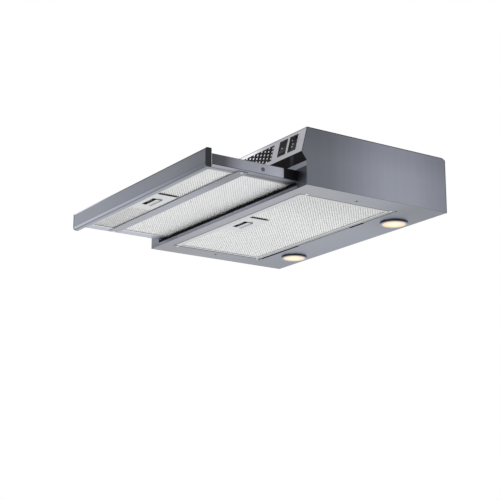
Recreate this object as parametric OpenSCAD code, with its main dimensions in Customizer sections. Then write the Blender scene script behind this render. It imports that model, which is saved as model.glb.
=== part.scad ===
// Slim pull out range hood for a 60 cm wall unit.
// X runs to the right seen from the front, Y to the wall, Z up.
// The origin is the middle of the back's lower edge. The tray is drawn pulled out.

/* [Casing] */
// Width of the casing
body_w = 598; // [580:1:620]
// Depth of the casing, from the wall to the front posts
body_d = 356; // [350:1:380]
// Height of the casing
body_h = 117; // [113:1:140]
// Thickness of the casing's sheet steel
sheet = 0.8; // [0.6:0.1:1.2]
// How far the nose stands out past the front posts
nose_reach = 12.2; // [8:0.1:16]
// Height of the nose's edge
nose_z = 65.3; // [62:0.1:70]
// Height at which the nose's underside meets the posts
brow_z = 49.1; // [46:0.1:54]
// How far the top's front edge is set back from the posts' face
top_setback = 1; // [0:0.1:6]
// Depth of the chamfer along the top's rear edge
chamfer_y = 8; // [4:0.5:12]
// Height of that chamfer
chamfer_z = 4; // [2:0.5:8]

/* [Front opening] */
// Width of each front post
post_w = 33; // [30:0.5:38]
// Height of the rail under the tray
rail_h = 8.7; // [7:0.1:11]
// Gap between the tray and the header over it
header_gap = 1.7; // [1.5:0.1:3]

/* [Control panel] */
// Distance from the panel's lower edge to the middle of the lowest row of vent slots
vent_low = 11; // [8:0.1:14]
// Distance between rows of vent slots
vent_row = 3.95; // [3.8:0.05:4.4]
// Number of rows of vent slots
vent_rows = 9; // [5:1:9]
// Distance between slots in a row
vent_pitch = 27.1; // [24:0.1:32]
// Length of a vent slot
slot_l = 22.5; // [16:0.1:23]
// Height of a vent slot
slot_h = 3.2; // [2:0.1:3.4]
// Distance from the casing's side to the slotted field
vent_side = 106; // [102:1:150]
// Distance from the casing's side to the middle of the outer switch
switch_edge = 38.2; // [30:0.1:45]
// Distance between the middles of the two switches
switch_pitch = 34.7; // [30:0.1:40]
// Distance from the panel's lower edge to the middle of the switches
switch_mid = 28; // [24:0.5:30]

/* [Switches] */
// Width of a switch bezel
bezel_w = 25.3; // [24:0.1:28]
// Height of a switch bezel along the panel
bezel_h = 34; // [30:0.5:38]
// How far the bezel stands proud of the panel
bezel_proud = 0.8; // [0.4:0.1:2]
// Width of the switch housing behind the panel
switch_w = 22.6; // [21:0.1:23]
// Height of the switch housing behind the panel
switch_h = 31.2; // [28:0.1:33]
// Depth of the switch housing behind the panel
switch_depth = 20; // [16:0.5:26]
// Width of a rocker
rocker_w = 18.6; // [14:0.1:19]
// Height of a rocker
rocker_h = 27; // [22:0.5:28]
// Angle to which a rocker tips each way
rocker_tip = 8; // [5:0.5:10]
// Radius of a rocker's pivot pins
rocker_pin_r = 1.5; // [1:0.1:2]

/* [Filter opening] */
// Width of the pan's ledge at each side of the filter opening
side_ledge = 59; // [55:0.5:64]
// Width of the pan's ledge in front of the filter opening
front_ledge = 28; // [24:0.5:34]
// Width of the pan behind the filter opening, where the lamps are
rear_ledge = 96.9; // [94:0.1:104]
// Gap around the main filter
filter_gap = 0.6; // [0.4:0.05:1]
// Radius of the filter opening's corners
opening_r = 6; // [3:0.5:10]
// Depth of the finger notches behind the main filter
notch_d = 6; // [2:0.1:8]

/* [Filters] */
// Thickness of the main filter
filter_t = 9; // [7:0.1:10]
// Thickness of the tray's filters
tray_filter_t = 8; // [6:0.1:10]
// Height of the main filter's face above the pan's underside
filter_inset = 0.3; // [0.1:0.1:1]
// Thickness of the aluminium of the filter frames
frame_t = 0.8; // [0.6:0.1:1.2]
// Width of the filter frames' lip along the sides
lip_side = 4.5; // [3:0.1:8]
// Width of the main filter's lip along its front
lip_front = 11; // [8:0.1:14]
// Width of the main filter's lip along its rear
lip_rear = 11; // [8:0.1:24]
// Width of the tray filters' lips along front and rear
lip_tray = 3; // [2:0.1:5]
// How far the filter frames' walls stand above the mesh
mesh_cover = 0.8; // [0.4:0.1:1.5]
// Thickness of the expanded metal of the filters' mesh
mesh_t = 0.6; // [0.4:0.05:1]
// Distance between the folds of the mesh
fold_pitch = 12; // [8:0.5:24]

/* [Filter latches] */
// Distance of the latches' middle to the left of the middle
latch_off = 11; // [0:1:40]
// Width of a latch plate
plate_w = 110; // [90:1:130]
// Depth of a latch plate
plate_d = 46.5; // [42:0.5:50]
// Width of a latch slider
slider_w = 46; // [36:1:60]
// Distance from the plate's front edge to the finger recess
recess_y = 8; // [6:0.5:12]
// Depth of the finger recess in front of the slider
recess_d = 9; // [7:0.5:12]
// Depth of the slider's leaf
leaf_d = 12; // [9:0.5:14]
// Depth of the raised bar at the leaf's rear edge
bar_d = 5; // [3:0.5:7]
// Travel of a latch slider
latch_travel = 4; // [2:0.5:5]

/* [Tray] */
// Travel of the tray from closed to pulled out
tray_travel = 197.5; // [150:0.5:200]
// Gap between the rail and the tray's underside
tray_lift = 5.8; // [5.4:0.1:9]
// Height of the tray's sides
tray_h = 22; // [18:0.5:23]
// Thickness of the tray's sheet steel
tray_sheet = 1.2; // [0.8:0.1:1.5]
// Gap between the tray's sides and the posts
tray_gap = 2; // [1.6:0.1:3]
// Width of the flange under each side of the tray
flange_w = 24; // [20:0.5:30]
// Room kept behind the closed tray for the lamps
rear_room = 92.5; // [88:0.5:110]
// Gap between the closed front bar and the posts
bar_gap = 1; // [0.5:0.1:3]
// Gap between the front bar's back and the tray's side plates
side_gap = 6.5; // [3:0.5:10]
// Distance from the front edge of the side plates to the stop screws
stop_back = 114; // [60:1:130]
// Distance from the front bar's back to the cross bar
front_bay = 67.5; // [62:0.5:80]
// Width of the cross bar
cross_w = 21.5; // [18:0.5:26]
// Thickness of the cross bar
cross_t = 1.2; // [0.8:0.1:1.5]
// Depth of the tray's front rail behind the bar
tray_rail_d = 13.5; // [10:0.5:16]

/* [Front bar] */
// How far the front bar's ends stand out past the front opening
bar_over = 6.5; // [3:0.1:12]
// Thickness of the front bar
bar_t = 12.1; // [10:0.1:20]
// Height of the front bar's lower edge
bar_low = 6.5; // [5:0.1:9]
// Height of the front bar's upper edge
bar_top = 41.8; // [38:0.1:44]
// Wall of the front bar
bar_wall = 1.5; // [1:0.1:2.5]
// Radius along the front bar's lower front edge
bar_r = 6; // [3:0.1:6.5]
// Thickness of an end cap
cap_t = 3; // [2:0.1:5]
// How far an end cap rises over the bar, sloped at its front
cap_rise = 1.3; // [0.5:0.1:4]

/* [Runners] */
// Thickness of a runner
runner_t = 5.4; // [4:0.1:7]
// How far a runner reaches above the tray's side
runner_rise = 0.3; // [0.1:0.1:0.5]
// Length of a runner
runner_l = 145; // [120:1:148]
// Length of the tray's side plates in front of the runners
side_plate_l = 163; // [150:1:170]
// Running gap between a runner and its guide
run_gap = 0.3; // [0.2:0.05:0.5]
// Thickness of a guide's steel
guide_t = 1.2; // [1:0.1:1.5]
// Radius of the stop screws' heads
stop_head_r = 4; // [3:0.1:5]

/* [Lamps] */
// Distance of each lamp's middle from the casing's side
lamp_side = 119; // [108:1:140]
// Distance of the lamps from the wall
lamp_y = 41.5; // [38:0.5:52]
// Radius of a lamp's trim ring
trim_r = 29.6; // [29.2:0.1:34]
// How far the trim ring stands below the pan
trim_drop = 4; // [2.5:0.1:6]
// Radius of a lamp's lens
lens_r = 24; // [22:0.1:26]
// Radius of the pan's hole for a lamp
lamp_hole_r = 27.6; // [27.4:0.1:29]
// Height of a lamp module
module_h = 26; // [18:0.5:32]

/* [Blower] */
// Room between the scroll and the front posts, for the duct to the vent slots
scroll_front_room = 25.8; // [22:0.1:40]
// Number of impeller blades
blade_count = 32; // [16:1:40]
// Radial depth of a blade as a share of the impeller's radius
blade_share = 0.187; // [0.12:0.001:0.24]
// Thickness of a blade
blade_t = 1.2; // [0.8:0.1:2]
// Gap between the impeller and the scroll where it starts
scroll_clear = 5; // [3:0.5:8]
// How much the scroll's radius grows to its outlet, as a share of the impeller's radius
growth_share = 0.347; // [0.25:0.001:0.4]
// Wall of the plastic scroll, plenum and ducts
duct_wall = 2; // [1.5:0.1:3]
// Radius of the motor as a share of the room inside the blades
motor_share = 0.574; // [0.4:0.001:0.65]
// Height of the motor
motor_h = 36; // [28:0.5:38]
// Radius of the motor shaft
shaft_r = 4; // [3:0.1:5]
// Running gap of the shaft in the motor
shaft_gap = 0.05; // [0.03:0.01:0.08]

/* [Duct outlet] */
// Outer radius of the duct collar
collar_r = 60; // [50:0.5:62]
// Height of the collar above the casing
collar_h = 38; // [30:0.5:60]
// Wall of the collar
collar_wall = 1.5; // [1.2:0.1:2.5]
// Distance of the collar's axis from the wall
collar_back = 82; // [78:0.5:90]
// Height of the damper rod above the casing's top
rod_up = 11; // [9:0.5:14]
// Radius of the damper rod
rod_r = 2; // [1.5:0.1:2.5]

/* [Fixings] */
// Distance of the cabinet screw holes from the casing's sides
cabinet_side = 39; // [30:1:100]
// Distance of the cabinet screw holes from the front posts and from the wall
cabinet_end = 53; // [40:1:78]
// Radius of the cabinet screw holes
cabinet_hole_r = 2.75; // [2:0.05:3.5]
// Distance of the wall screw holes from the casing's sides
wall_side = 79; // [40:1:150]
// Height of the wall screw holes
wall_z = 88; // [70:0.5:95]
// Radius of the wall screw holes
wall_hole_r = 4; // [3:0.1:5]
// Radius of the cable gland's bore
gland_bore_r = 4.5; // [3:0.1:6]
// Radius of a pan screw's head
pan_head_r = 3.2; // [2.5:0.1:4]

/* [Hidden] */
$fn = 64;

// Overrun of every cut past the face it opens
over = 1;
steel = [0.55, 0.57, 0.61];
side_steel = [0.47, 0.49, 0.54];
bright = [0.8, 0.81, 0.82];
black = [0.09, 0.09, 0.1];
dark = [0.2, 0.2, 0.22];
aluminium = [0.86, 0.87, 0.88];
lamp_glow = [1, 0.9, 0.72];
white_plastic = [0.85, 0.85, 0.83];

inner_w = body_w - 2 * sheet;
open_half = body_w / 2 - post_w;
vent_half = body_w / 2 - vent_side;
lamp_x = body_w / 2 - lamp_side;
cabinet_x = body_w - 2 * cabinet_side;
cabinet_y = body_d - 2 * cabinet_end;
wall_x = body_w - 2 * wall_side;
filter_half = body_w / 2 - side_ledge;
tray_z = rail_h + tray_lift;
tray_top = tray_z + tray_h;
header_z = tray_top + header_gap;

// The casing's outline in Y and Z, anticlockwise from the wall's lower edge
casing_loop = [
    [0, 0], [0, body_h - chamfer_z], [-chamfer_y, body_h], [-body_d + top_setback, body_h],
    [-body_d - nose_reach, nose_z], [-body_d, brow_z], [-body_d, 0]
];
casing_sides = len(casing_loop);

// Main filter
filter_front = -body_d + front_ledge + filter_gap;
filter_rear = -rear_ledge - filter_gap;
filter_x = filter_half - filter_gap;
notch_shares = [[-0.992, -0.375], [0.4, 0.596]];

// Tray
bar_back = -body_d - tray_travel - bar_gap;
bar_half = open_half + bar_over;
tray_half = open_half - tray_gap;
tray_l = body_d + bar_gap - rear_room;
tray_rear = bar_back + tray_l;
rail_rear = bar_back + tray_rail_d;
cross_front = bar_back + front_bay;
cross_rear = cross_front + cross_w;
side_start = bar_back + side_gap;
side_end = side_start + side_plate_l;
flange_in = tray_half - flange_w;
flange_t = 1;
tray_fit = 0.4;
tray_filter_x = flange_in - tray_fit;
front_filter_y = [rail_rear + tray_fit, (cross_front + cross_rear) / 2 - tray_fit];
rear_filter_y = [(cross_front + cross_rear) / 2 + tray_fit, tray_rear - 2 * tray_sheet];
rear_ledge_w = 12;

// Runner and guide, each worked out from the front opening
runner_out = open_half - 2 * run_gap;
runner_in = runner_out - runner_t;
runner_high = tray_top + runner_rise;
guide_in = runner_out + run_gap;
guide_low = tray_z - run_gap;
guide_high = runner_high + run_gap;
guide_lip = runner_t + run_gap - tray_fit;
guide_front = -body_d + sheet + over;
guide_back = 40;
guide_rear = -guide_back;
foot_l = 20;
foot_set = 14;

// Blower
hang_gap = 4.2;
scroll_top = body_h - sheet - hang_gap;
scroll_rise = 9.8;
scroll_low = header_z + scroll_rise;
plenum_side = 15;
plenum_margin = 7;
plenum_half = collar_r + plenum_side;
plenum_depth = collar_r + plenum_margin;
plenum_front = -collar_back - plenum_depth;
plenum_rear = -collar_back + plenum_depth;

// Angles round the scroll, from its outlet side: where it starts, its rear, left and front
scroll_start_a = 60;
scroll_rear_a = 90;
scroll_left_a = 190;
scroll_front_a = 270;
scroll_end_a = 360;
scroll_step = 10;

// The impeller is as large as the depth between the plenum and the front lets it be
scroll_room = body_d + plenum_front - tray_fit - scroll_front_room;
growth_rear_share = (scroll_rear_a - scroll_start_a) / (scroll_end_a - scroll_start_a);
growth_front_share = (scroll_front_a - scroll_start_a) / (scroll_end_a - scroll_start_a);
impeller_r = (scroll_room - 2 * scroll_clear)
    / (2 + growth_share * (growth_rear_share + growth_front_share));
blade_d = blade_share * impeller_r;
motor_r = motor_share * (impeller_r - blade_d);
scroll_start_r = impeller_r + scroll_clear;
scroll_growth = growth_share * impeller_r;
scroll_end_r = scroll_start_r + scroll_growth;
scroll_x = plenum_half - duct_wall - scroll_end_r;
scroll_y = plenum_front - scroll_radius(scroll_rear_a) - tray_fit;
inlet_lap = 8;
inlet_r = impeller_r - blade_d - inlet_lap;

function unit(v) = v / norm(v);
function left_of(v) = [-v[1], v[0]];
function reversed(list) = [for (i = [len(list) - 1 : -1 : 0]) list[i]];

// Corner of the inner face where two walls of thickness t meet at b
function mitre(a, b, c, t) =
    let (p = left_of(unit(b - a)), q = left_of(unit(c - b)))
    b + t * (p + q) / (1 + p * q);

function casing_outer(i) = casing_loop[i % casing_sides];
function casing_inner(i) = mitre(
    casing_loop[(i + casing_sides - 1) % casing_sides],
    casing_outer(i),
    casing_loop[(i + 1) % casing_sides],
    sheet);

// Radius of the scroll's outer face at an angle from its outlet side
function scroll_radius(a) =
    scroll_start_r + scroll_growth * (a - scroll_start_a) / (scroll_end_a - scroll_start_a);
function scroll_points(inset) = [
    for (a = [scroll_start_a : scroll_step : scroll_end_a])
    [scroll_x, scroll_y] + (scroll_radius(a) - inset) * [cos(a), sin(a)]
];
tongue_x = scroll_x + scroll_start_r * cos(scroll_start_a);
tongue_y = scroll_y + scroll_start_r * sin(scroll_start_a);

// An outline drawn in Y and Z, extruded along X about the middle
module along_x(width) {
    rotate([90, 0, 90]) linear_extrude(height = width, center = true) children();
}

// A wall of the casing's outline from one corner to another, with mitred ends
module casing_wall(first, last) {
    along_x(inner_w) polygon(concat(
        [for (i = [first : last]) casing_outer(i)],
        [for (i = [last : -1 : first]) casing_inner(i)]));
}

// A block between two corners
module block(low, high) {
    translate(low) cube(high - low);
}

// A rectangle between two corners, with round corners
module round_rect(low, high, r) {
    translate([low[0] + r, low[1]]) square([high[0] - low[0] - 2 * r, high[1] - low[1]]);
    translate([low[0], low[1] + r]) square([high[0] - low[0], high[1] - low[1] - 2 * r]);
    for (x = [low[0] + r, high[0] - r]) {
        for (y = [low[1] + r, high[1] - r]) {
            translate([x, y]) circle(r);
        }
    }
}

// A slot with round ends
module slot_shape(length, width) {
    square([length - width, width], center = true);
    for (s = [-1, 1]) {
        translate([s * (length - width) / 2, 0]) circle(width / 2);
    }
}

module rod(r, low, high) {
    translate([0, 0, low]) cylinder(r = r, h = high - low);
}

// Casing

module side_panel(s) {
    translate([s * (body_w - sheet) / 2, 0, 0]) along_x(sheet) polygon(casing_loop);
}

module side_panel_left() {
    color(side_steel) side_panel(-1);
}

module side_panel_right() {
    color(side_steel) side_panel(1);
}

module top_panel() {
    cabinet_mid = -body_d / 2;
    color(steel) difference() {
        casing_wall(2, 3);
        translate([0, -collar_back, 0]) rod(collar_r - collar_wall, body_h - 2 * sheet, body_h + over);
        for (sx = [-1, 1]) {
            for (sy = [-1, 1]) {
                translate([sx * cabinet_x / 2, cabinet_mid + sy * cabinet_y / 2, 0])
                    rod(cabinet_hole_r, body_h - 2 * sheet, body_h + over);
            }
        }
        translate([gland_x, -gland_back, 0]) rod(gland_hole_r, body_h - 2 * sheet, body_h + over);
        translate([-capacitor_x, -capacitor_back, 0])
            rod(capacitor_stud_r + stud_gap, body_h - 2 * sheet, body_h + over);
    }
}

module back_panel() {
    color(steel) difference() {
        casing_wall(0, 2);
        for (s = [-1, 1]) {
            translate([s * wall_x / 2, over, wall_z])
                rotate([90, 0, 0]) cylinder(r = wall_hole_r, h = sheet + 2 * over);
        }
    }
}

// The screws that show in the pan: bright ones near the filter, dark ones at the seams
screw_r = 1.6;
screw_gap = 0.2;
front_spot = [6, 10];
rear_spot = [3, 6];
middle_spot = [22, 5.5];
corner_spot = [8, 3.3];
bright_spots = [
    [filter_half, -body_d + front_ledge] + front_spot,
    [filter_half + rear_spot[0], -rear_ledge - rear_spot[1]]
];
seam_spots = [
    [filter_half, -(rear_ledge + body_d - front_ledge) / 2] + middle_spot,
    [filter_half, -rear_ledge] + corner_spot
];

module at_spots(spots) {
    for (spot = spots) {
        for (s = [-1, 1]) {
            translate([s * spot[0], spot[1], 0]) children();
        }
    }
}

module bottom_pan() {
    color(steel) difference() {
        casing_wall(6, 7);
        translate([0, 0, -over]) linear_extrude(height = sheet + 2 * over) {
            round_rect([-filter_half, -body_d + front_ledge], [filter_half, -rear_ledge], opening_r);
            for (share = notch_shares) {
                translate([share[0] * filter_half, -rear_ledge - opening_r])
                    square([(share[1] - share[0]) * filter_half, opening_r + notch_d]);
            }
            for (s = [-1, 1]) {
                translate([s * lamp_x, -lamp_y]) circle(lamp_hole_r);
            }
        }
        at_spots(concat(bright_spots, seam_spots)) rod(screw_r + screw_gap, -over, sheet + over);
    }
}

module pan_screws() {
    head_h = 1.3;
    color(bright) at_spots(bright_spots) {
        rod(pan_head_r, -head_h, 0);
        rod(screw_r, -head_h / 2, 5 * sheet);
        rod(2 * screw_r, sheet, 4 * sheet);
    }
}

module seam_screws() {
    head_h = 0.5;
    color(dark) at_spots(seam_spots) {
        rod(pan_head_r - head_h, -head_h, 0);
        rod(screw_r, -head_h / 2, 5 * sheet);
        rod(2 * screw_r, sheet, 4 * sheet);
    }
}

module front_frame() {
    color(steel) difference() {
        casing_wall(5, 6);
        block([-open_half, -body_d - over, rail_h], [open_half, -body_d + sheet + over, header_z]);
    }
}

module soffit() {
    color(black) casing_wall(4, 5);
}

// Frame of the sloped panel: X across, Y up the slope from the nose, Z outwards
panel_foot = casing_outer(4);
panel_head = casing_outer(3);
panel_lean = atan2(panel_head[1] - panel_foot[1], panel_head[0] - panel_foot[0]);

module on_panel() {
    translate([0, panel_foot[0], panel_foot[1]]) rotate([panel_lean, 0, 0]) children();
}

fan_switch_x = body_w / 2 - switch_edge - switch_pitch;
light_switch_x = body_w / 2 - switch_edge;
switch_fit = 0.2;

// One row of slots; a long row ends in shortened slots that reach the field's edge
module vent_row_slots(long) {
    shift = long ? 0 : vent_pitch / 2;
    count = floor((vent_half - slot_l / 2 - shift) / vent_pitch);
    for (i = [(long ? -count : -count - 1) : count]) {
        translate([i * vent_pitch + shift, 0]) slot_shape(slot_l, slot_h);
    }
    end_start = (count + 1) * vent_pitch + shift - slot_l / 2;
    end_l = vent_half - end_start;
    if (long && end_l > 2 * slot_h) {
        for (s = [-1, 1]) {
            translate([s * (vent_half - end_l / 2), 0]) slot_shape(end_l, slot_h);
        }
    }
}

module vent_field() {
    for (row = [0 : vent_rows - 1]) {
        translate([0, vent_low + row * vent_row]) vent_row_slots(row % 2 == 0);
    }
}

module control_panel() {
    color(bright) difference() {
        casing_wall(3, 4);
        on_panel() translate([0, 0, -sheet - over]) linear_extrude(height = sheet + 2 * over) {
            vent_field();
            for (x = [fan_switch_x, light_switch_x]) {
                translate([x, switch_mid])
                    square([switch_w, switch_h] + 2 * switch_fit * [1, 1], center = true);
            }
        }
    }
}

// The duct that leads air from the plenum's left side to the vent slots, open at the front
duct_rise = 1;
duct_set = 5;
branch_w = 34;
duct_low = nose_z + duct_rise;
duct_high = scroll_top;
duct_front = -body_d + duct_set;
duct_back = scroll_y - scroll_radius(scroll_front_a) - duct_wall;
branch_in = min(scroll_x - scroll_radius(scroll_left_a), -plenum_half) - duct_wall;
branch_out = branch_in - branch_w;

module recirculation_duct() {
    manifold_left = min(-vent_half - duct_wall, branch_out);
    color(black) difference() {
        union() {
            block([manifold_left, duct_front, duct_low], [vent_half + duct_wall, duct_back, duct_high]);
            block(
                [branch_out, duct_back - over, duct_low],
                [branch_in, plenum_front + 3 * foot_l, duct_high]);
            block(
                [branch_in - over, plenum_front + foot_l, duct_low],
                [-plenum_half, plenum_front + 3 * foot_l, duct_high]);
        }
        block(
            [manifold_left + duct_wall, duct_front - over, duct_low + duct_wall],
            [vent_half, duct_back - duct_wall, duct_high - duct_wall]);
        block(
            [branch_out + duct_wall, duct_back - 3 * duct_wall, duct_low + duct_wall],
            [branch_in - duct_wall, plenum_front + 3 * foot_l - duct_wall, duct_high - duct_wall]);
        block(
            [branch_in - 2 * duct_wall, plenum_front + foot_l + duct_wall, duct_low + duct_wall],
            [-plenum_half + over, plenum_front + 3 * foot_l - duct_wall, duct_high - duct_wall]);
    }
}

// Switches, drawn about the middle of a bezel's face on the panel

pivot_depth = 2.4;
rocker_gap = 0.4;
rocker_thick = 4.2;
well_depth = 8;

module switch_housing() {
    difference() {
        union() {
            linear_extrude(height = bezel_proud)
                square([bezel_w, bezel_h], center = true);
            translate([0, 0, -switch_depth]) linear_extrude(height = switch_depth + bezel_proud / 2)
                square([switch_w, switch_h], center = true);
            for (x = [-1, 0, 1]) {
                translate([x * switch_w / 4, 0, -switch_depth - 2 * pivot_depth])
                    linear_extrude(height = 2 * pivot_depth + over)
                    square([bezel_proud, 2 * pivot_depth], center = true);
            }
        }
        translate([0, 0, -well_depth]) linear_extrude(height = well_depth + bezel_proud + over)
            square([rocker_w, rocker_h] + 2 * rocker_gap * [1, 1], center = true);
        translate([-(rocker_w / 2 + rocker_gap + over), 0, -pivot_depth]) rotate([0, 90, 0])
            cylinder(r = rocker_pin_r + shaft_gap, h = rocker_w + 2 * rocker_gap + 2 * over);
    }
}

module rocker() {
    end_r = rocker_h / 2;
    translate([0, 0, -pivot_depth]) {
        intersection() {
            along_x(rocker_w) polygon([
                [-end_r, rocker_thick], [0, rocker_thick / 2], [end_r, rocker_thick],
                [end_r, 0], [rocker_thick / 2, -rocker_thick / 2], [-rocker_thick / 2, -rocker_thick / 2],
                [-end_r, 0]
            ]);
            rotate([0, 90, 0]) cylinder(r = end_r, h = 2 * rocker_w, center = true);
        }
        rotate([0, 90, 0])
            cylinder(r = rocker_pin_r, h = rocker_w + 2 * rocker_gap + over, center = true);
    }
}

module fan_switch_housing() {
    color(black) on_panel() translate([fan_switch_x, switch_mid, 0]) switch_housing();
}

module light_switch_housing() {
    color(black) on_panel() translate([light_switch_x, switch_mid, 0]) switch_housing();
}

module fan_rocker() {
    color(dark) on_panel() translate([fan_switch_x, switch_mid, 0]) rocker();
}

// The light is on, so its rocker is tipped to one end
module light_rocker() {
    color(dark) on_panel() translate([light_switch_x, switch_mid, 0])
        translate([0, 0, -pivot_depth]) rotate([rocker_tip, 0, 0])
        translate([0, 0, pivot_depth]) rocker();
}

// Filters: each is a folded frame, a mesh pack on its lip and, on two of them, a latch

bolt_half = 10;
bolt_t = 2;
bolt_gap = 0.4;
leaf_gap = 0.3;
leaf_t = 0.6;
grip_t = 1.1;
pocket_h = 3.6;
pocket_rim = 2;
catch_gap = 0.4;
window_rim = 1.4;

// y holds the frame's front and rear, lip its front and rear lips, z its underside
module filter_frame(x, y, lip, z, t, latch) {
    corner_r = opening_r - filter_gap;
    difference() {
        translate([0, 0, z]) linear_extrude(height = t) round_rect([-x, y[0]], [x, y[1]], corner_r);
        translate([0, 0, z + frame_t]) linear_extrude(height = t) frame_inside(x, y);
        translate([0, 0, z - over]) linear_extrude(height = t) round_rect(
            [-x + lip_side, y[0] + lip[0]], [x - lip_side, y[1] - lip[1]], corner_r - frame_t);
        if (latch) {
            block(
                [-latch_off - bolt_half - bolt_gap, y[0] - over, z + frame_t],
                [-latch_off + bolt_half + bolt_gap, y[0] + 2 * frame_t, z + frame_t + 2 * bolt_gap + bolt_t]);
        }
    }
}

// The space between a frame's walls
module frame_inside(x, y) {
    round_rect(
        [-x + frame_t, y[0] + frame_t], [x - frame_t, y[1] - frame_t], opening_r - filter_gap - frame_t);
}

// Lower side of a folded sheet in X and Z, from one wall to the other
function folds(half, low, high) =
    let (count = floor(2 * half / fold_pitch), step = 2 * half / count, flat = step / 4)
    [for (i = [0 : count - 1]) each [
        [-half + i * step, low], [-half + i * step + flat, low],
        [-half + i * step + 2 * flat, high], [-half + i * step + 3 * flat, high]
    ]];

// The same run moved to its left by t, with mitred corners
function moved_left(run, t) = [
    for (i = [0 : len(run) - 1])
    i == 0 ? run[0] + t * left_of(unit(run[1] - run[0])) :
    i == len(run) - 1 ? run[i] + t * left_of(unit(run[i] - run[i - 1])) :
    mitre(run[i - 1], run[i], run[i + 1], t)
];

// The pack is one sheet of expanded metal, folded to fill the frame's depth
module filter_mesh(x, y, lip, z, t, latch) {
    half = x - frame_t;
    run = concat(
        folds(half, z + frame_t, z + t - mesh_cover - mesh_t),
        [[half, z + frame_t]]);
    difference() {
        intersection() {
            translate([0, y[1], 0]) rotate([90, 0, 0]) linear_extrude(height = y[1] - y[0])
                polygon(concat(run, reversed(moved_left(run, mesh_t))));
            translate([0, 0, z]) linear_extrude(height = t) frame_inside(x, y);
        }
        if (latch) {
            block(
                [-latch_off - plate_w / 2 + pocket_rim, y[0] - over, z - over],
                [-latch_off + plate_w / 2 - pocket_rim, y[0] + lip[0] + plate_d - pocket_rim,
                    z + frame_t + pocket_h]);
        }
    }
}

// y is the plate's front edge, z its lower face
module latch_plate(y, z) {
    window_half = slider_w / 2 + window_rim;
    window_end = recess_y + recess_d + leaf_d + window_rim;
    difference() {
        block([-latch_off - plate_w / 2, y, z], [-latch_off + plate_w / 2, y + plate_d, z + frame_t]);
        block(
            [-latch_off - window_half, y + recess_y, z - over],
            [-latch_off + window_half, y + window_end, z + frame_t + over]);
    }
}

// y is the plate's front edge, front the filter's front, z the plate's lower face
module latch_slider(y, front, z) {
    leaf_front = y + recess_y + recess_d;
    leaf_rear = leaf_front + leaf_d;
    stem_front = leaf_rear - bar_d;
    bolt_z = z + frame_t + leaf_gap;
    translate([-latch_off, 0, 0]) {
        block([-slider_w / 2, leaf_front, z - leaf_gap - leaf_t], [slider_w / 2, leaf_rear, z - leaf_gap]);
        block(
            [-slider_w / 2, leaf_rear - bar_d, z - leaf_gap - leaf_t - grip_t],
            [slider_w / 2, leaf_rear, z - leaf_gap - leaf_t]);
        block(
            [-slider_w / 2 + frame_t, stem_front, z - leaf_gap - leaf_t],
            [slider_w / 2 - frame_t, stem_front + 2 * frame_t, bolt_z + bolt_t / 2]);
        block(
            [-slider_w / 2 - 4 * frame_t, leaf_front, bolt_z],
            [slider_w / 2 + 4 * frame_t, y + plate_d - latch_travel - 2 * leaf_d / 3, bolt_z + bolt_t / 2]);
        block([-bolt_half, front, bolt_z], [bolt_half, stem_front, bolt_z + bolt_t]);
    }
}

main_lip = [lip_front, lip_rear];
main_y = [filter_front, filter_rear];
main_plate_y = filter_front + lip_front;

module main_filter_frame() {
    color(aluminium) filter_frame(filter_x, main_y, main_lip, filter_inset, filter_t, true);
}

module main_filter_mesh() {
    color(bright) filter_mesh(filter_x, main_y, main_lip, filter_inset, filter_t, true);
}

module main_latch_plate() {
    color(aluminium) latch_plate(main_plate_y, filter_inset);
}

module main_latch_slider() {
    color(bright) latch_slider(main_plate_y, filter_front - filter_gap + catch_gap, filter_inset);
}

tray_lip = [lip_tray, lip_tray];
front_plate_y = front_filter_y[0] + lip_tray;

module front_filter_frame() {
    color(aluminium) filter_frame(tray_filter_x, front_filter_y, tray_lip, tray_z, tray_filter_t, true);
}

module front_filter_mesh() {
    color(bright) filter_mesh(tray_filter_x, front_filter_y, tray_lip, tray_z, tray_filter_t, true);
}

module front_latch_plate() {
    color(aluminium) latch_plate(front_plate_y, tray_z);
}

module front_latch_slider() {
    color(bright) latch_slider(front_plate_y, front_filter_y[0], tray_z);
}

module rear_filter_frame() {
    color(aluminium) filter_frame(tray_filter_x, rear_filter_y, tray_lip, tray_z, tray_filter_t, false);
}

module rear_filter_mesh() {
    color(bright) filter_mesh(tray_filter_x, rear_filter_y, tray_lip, tray_z, tray_filter_t, false);
}

// Lamps

trim_chamfer = 1.5;
trim_collar_h = 12;
lens_t = 1.6;
lens_fit = 0.1;
trim_ledge = 1.6;

module at_lamp(s) {
    translate([s * lamp_x, -lamp_y, 0]) children();
}

module lamp_trim(s) {
    collar_out = lamp_hole_r - 2 * lens_fit;
    collar_in = lens_r - trim_ledge;
    color(bright) at_lamp(s) rotate_extrude() polygon([
        [trim_r, 0], [trim_r, -trim_drop + trim_chamfer], [trim_r - trim_chamfer, -trim_drop],
        [lens_r, -trim_drop], [lens_r, -trim_drop / 2], [collar_in, -trim_drop / 2],
        [collar_in, trim_collar_h], [collar_out, trim_collar_h], [collar_out, 0]
    ]);
}

module lamp_lens(s) {
    color(lamp_glow) at_lamp(s) rod(lens_r - lens_fit, -trim_drop / 2 - lens_t, -trim_drop / 2);
}

module lamp_module(s) {
    body_r = lens_r - trim_ledge - 3 * lens_fit;
    color(dark) at_lamp(s) {
        rod(body_r, -trim_drop / 2 + lens_t, trim_collar_h + over);
        rod(lamp_hole_r + over, trim_collar_h, trim_collar_h + 2 * over);
        rod(body_r, trim_collar_h + over, module_h);
    }
}

module lamp_trim_left() {
    lamp_trim(-1);
}

module lamp_trim_right() {
    lamp_trim(1);
}

module lamp_lens_left() {
    lamp_lens(-1);
}

module lamp_lens_right() {
    lamp_lens(1);
}

module lamp_module_left() {
    lamp_module(-1);
}

module lamp_module_right() {
    lamp_module(1);
}

// Guides and runners

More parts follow.
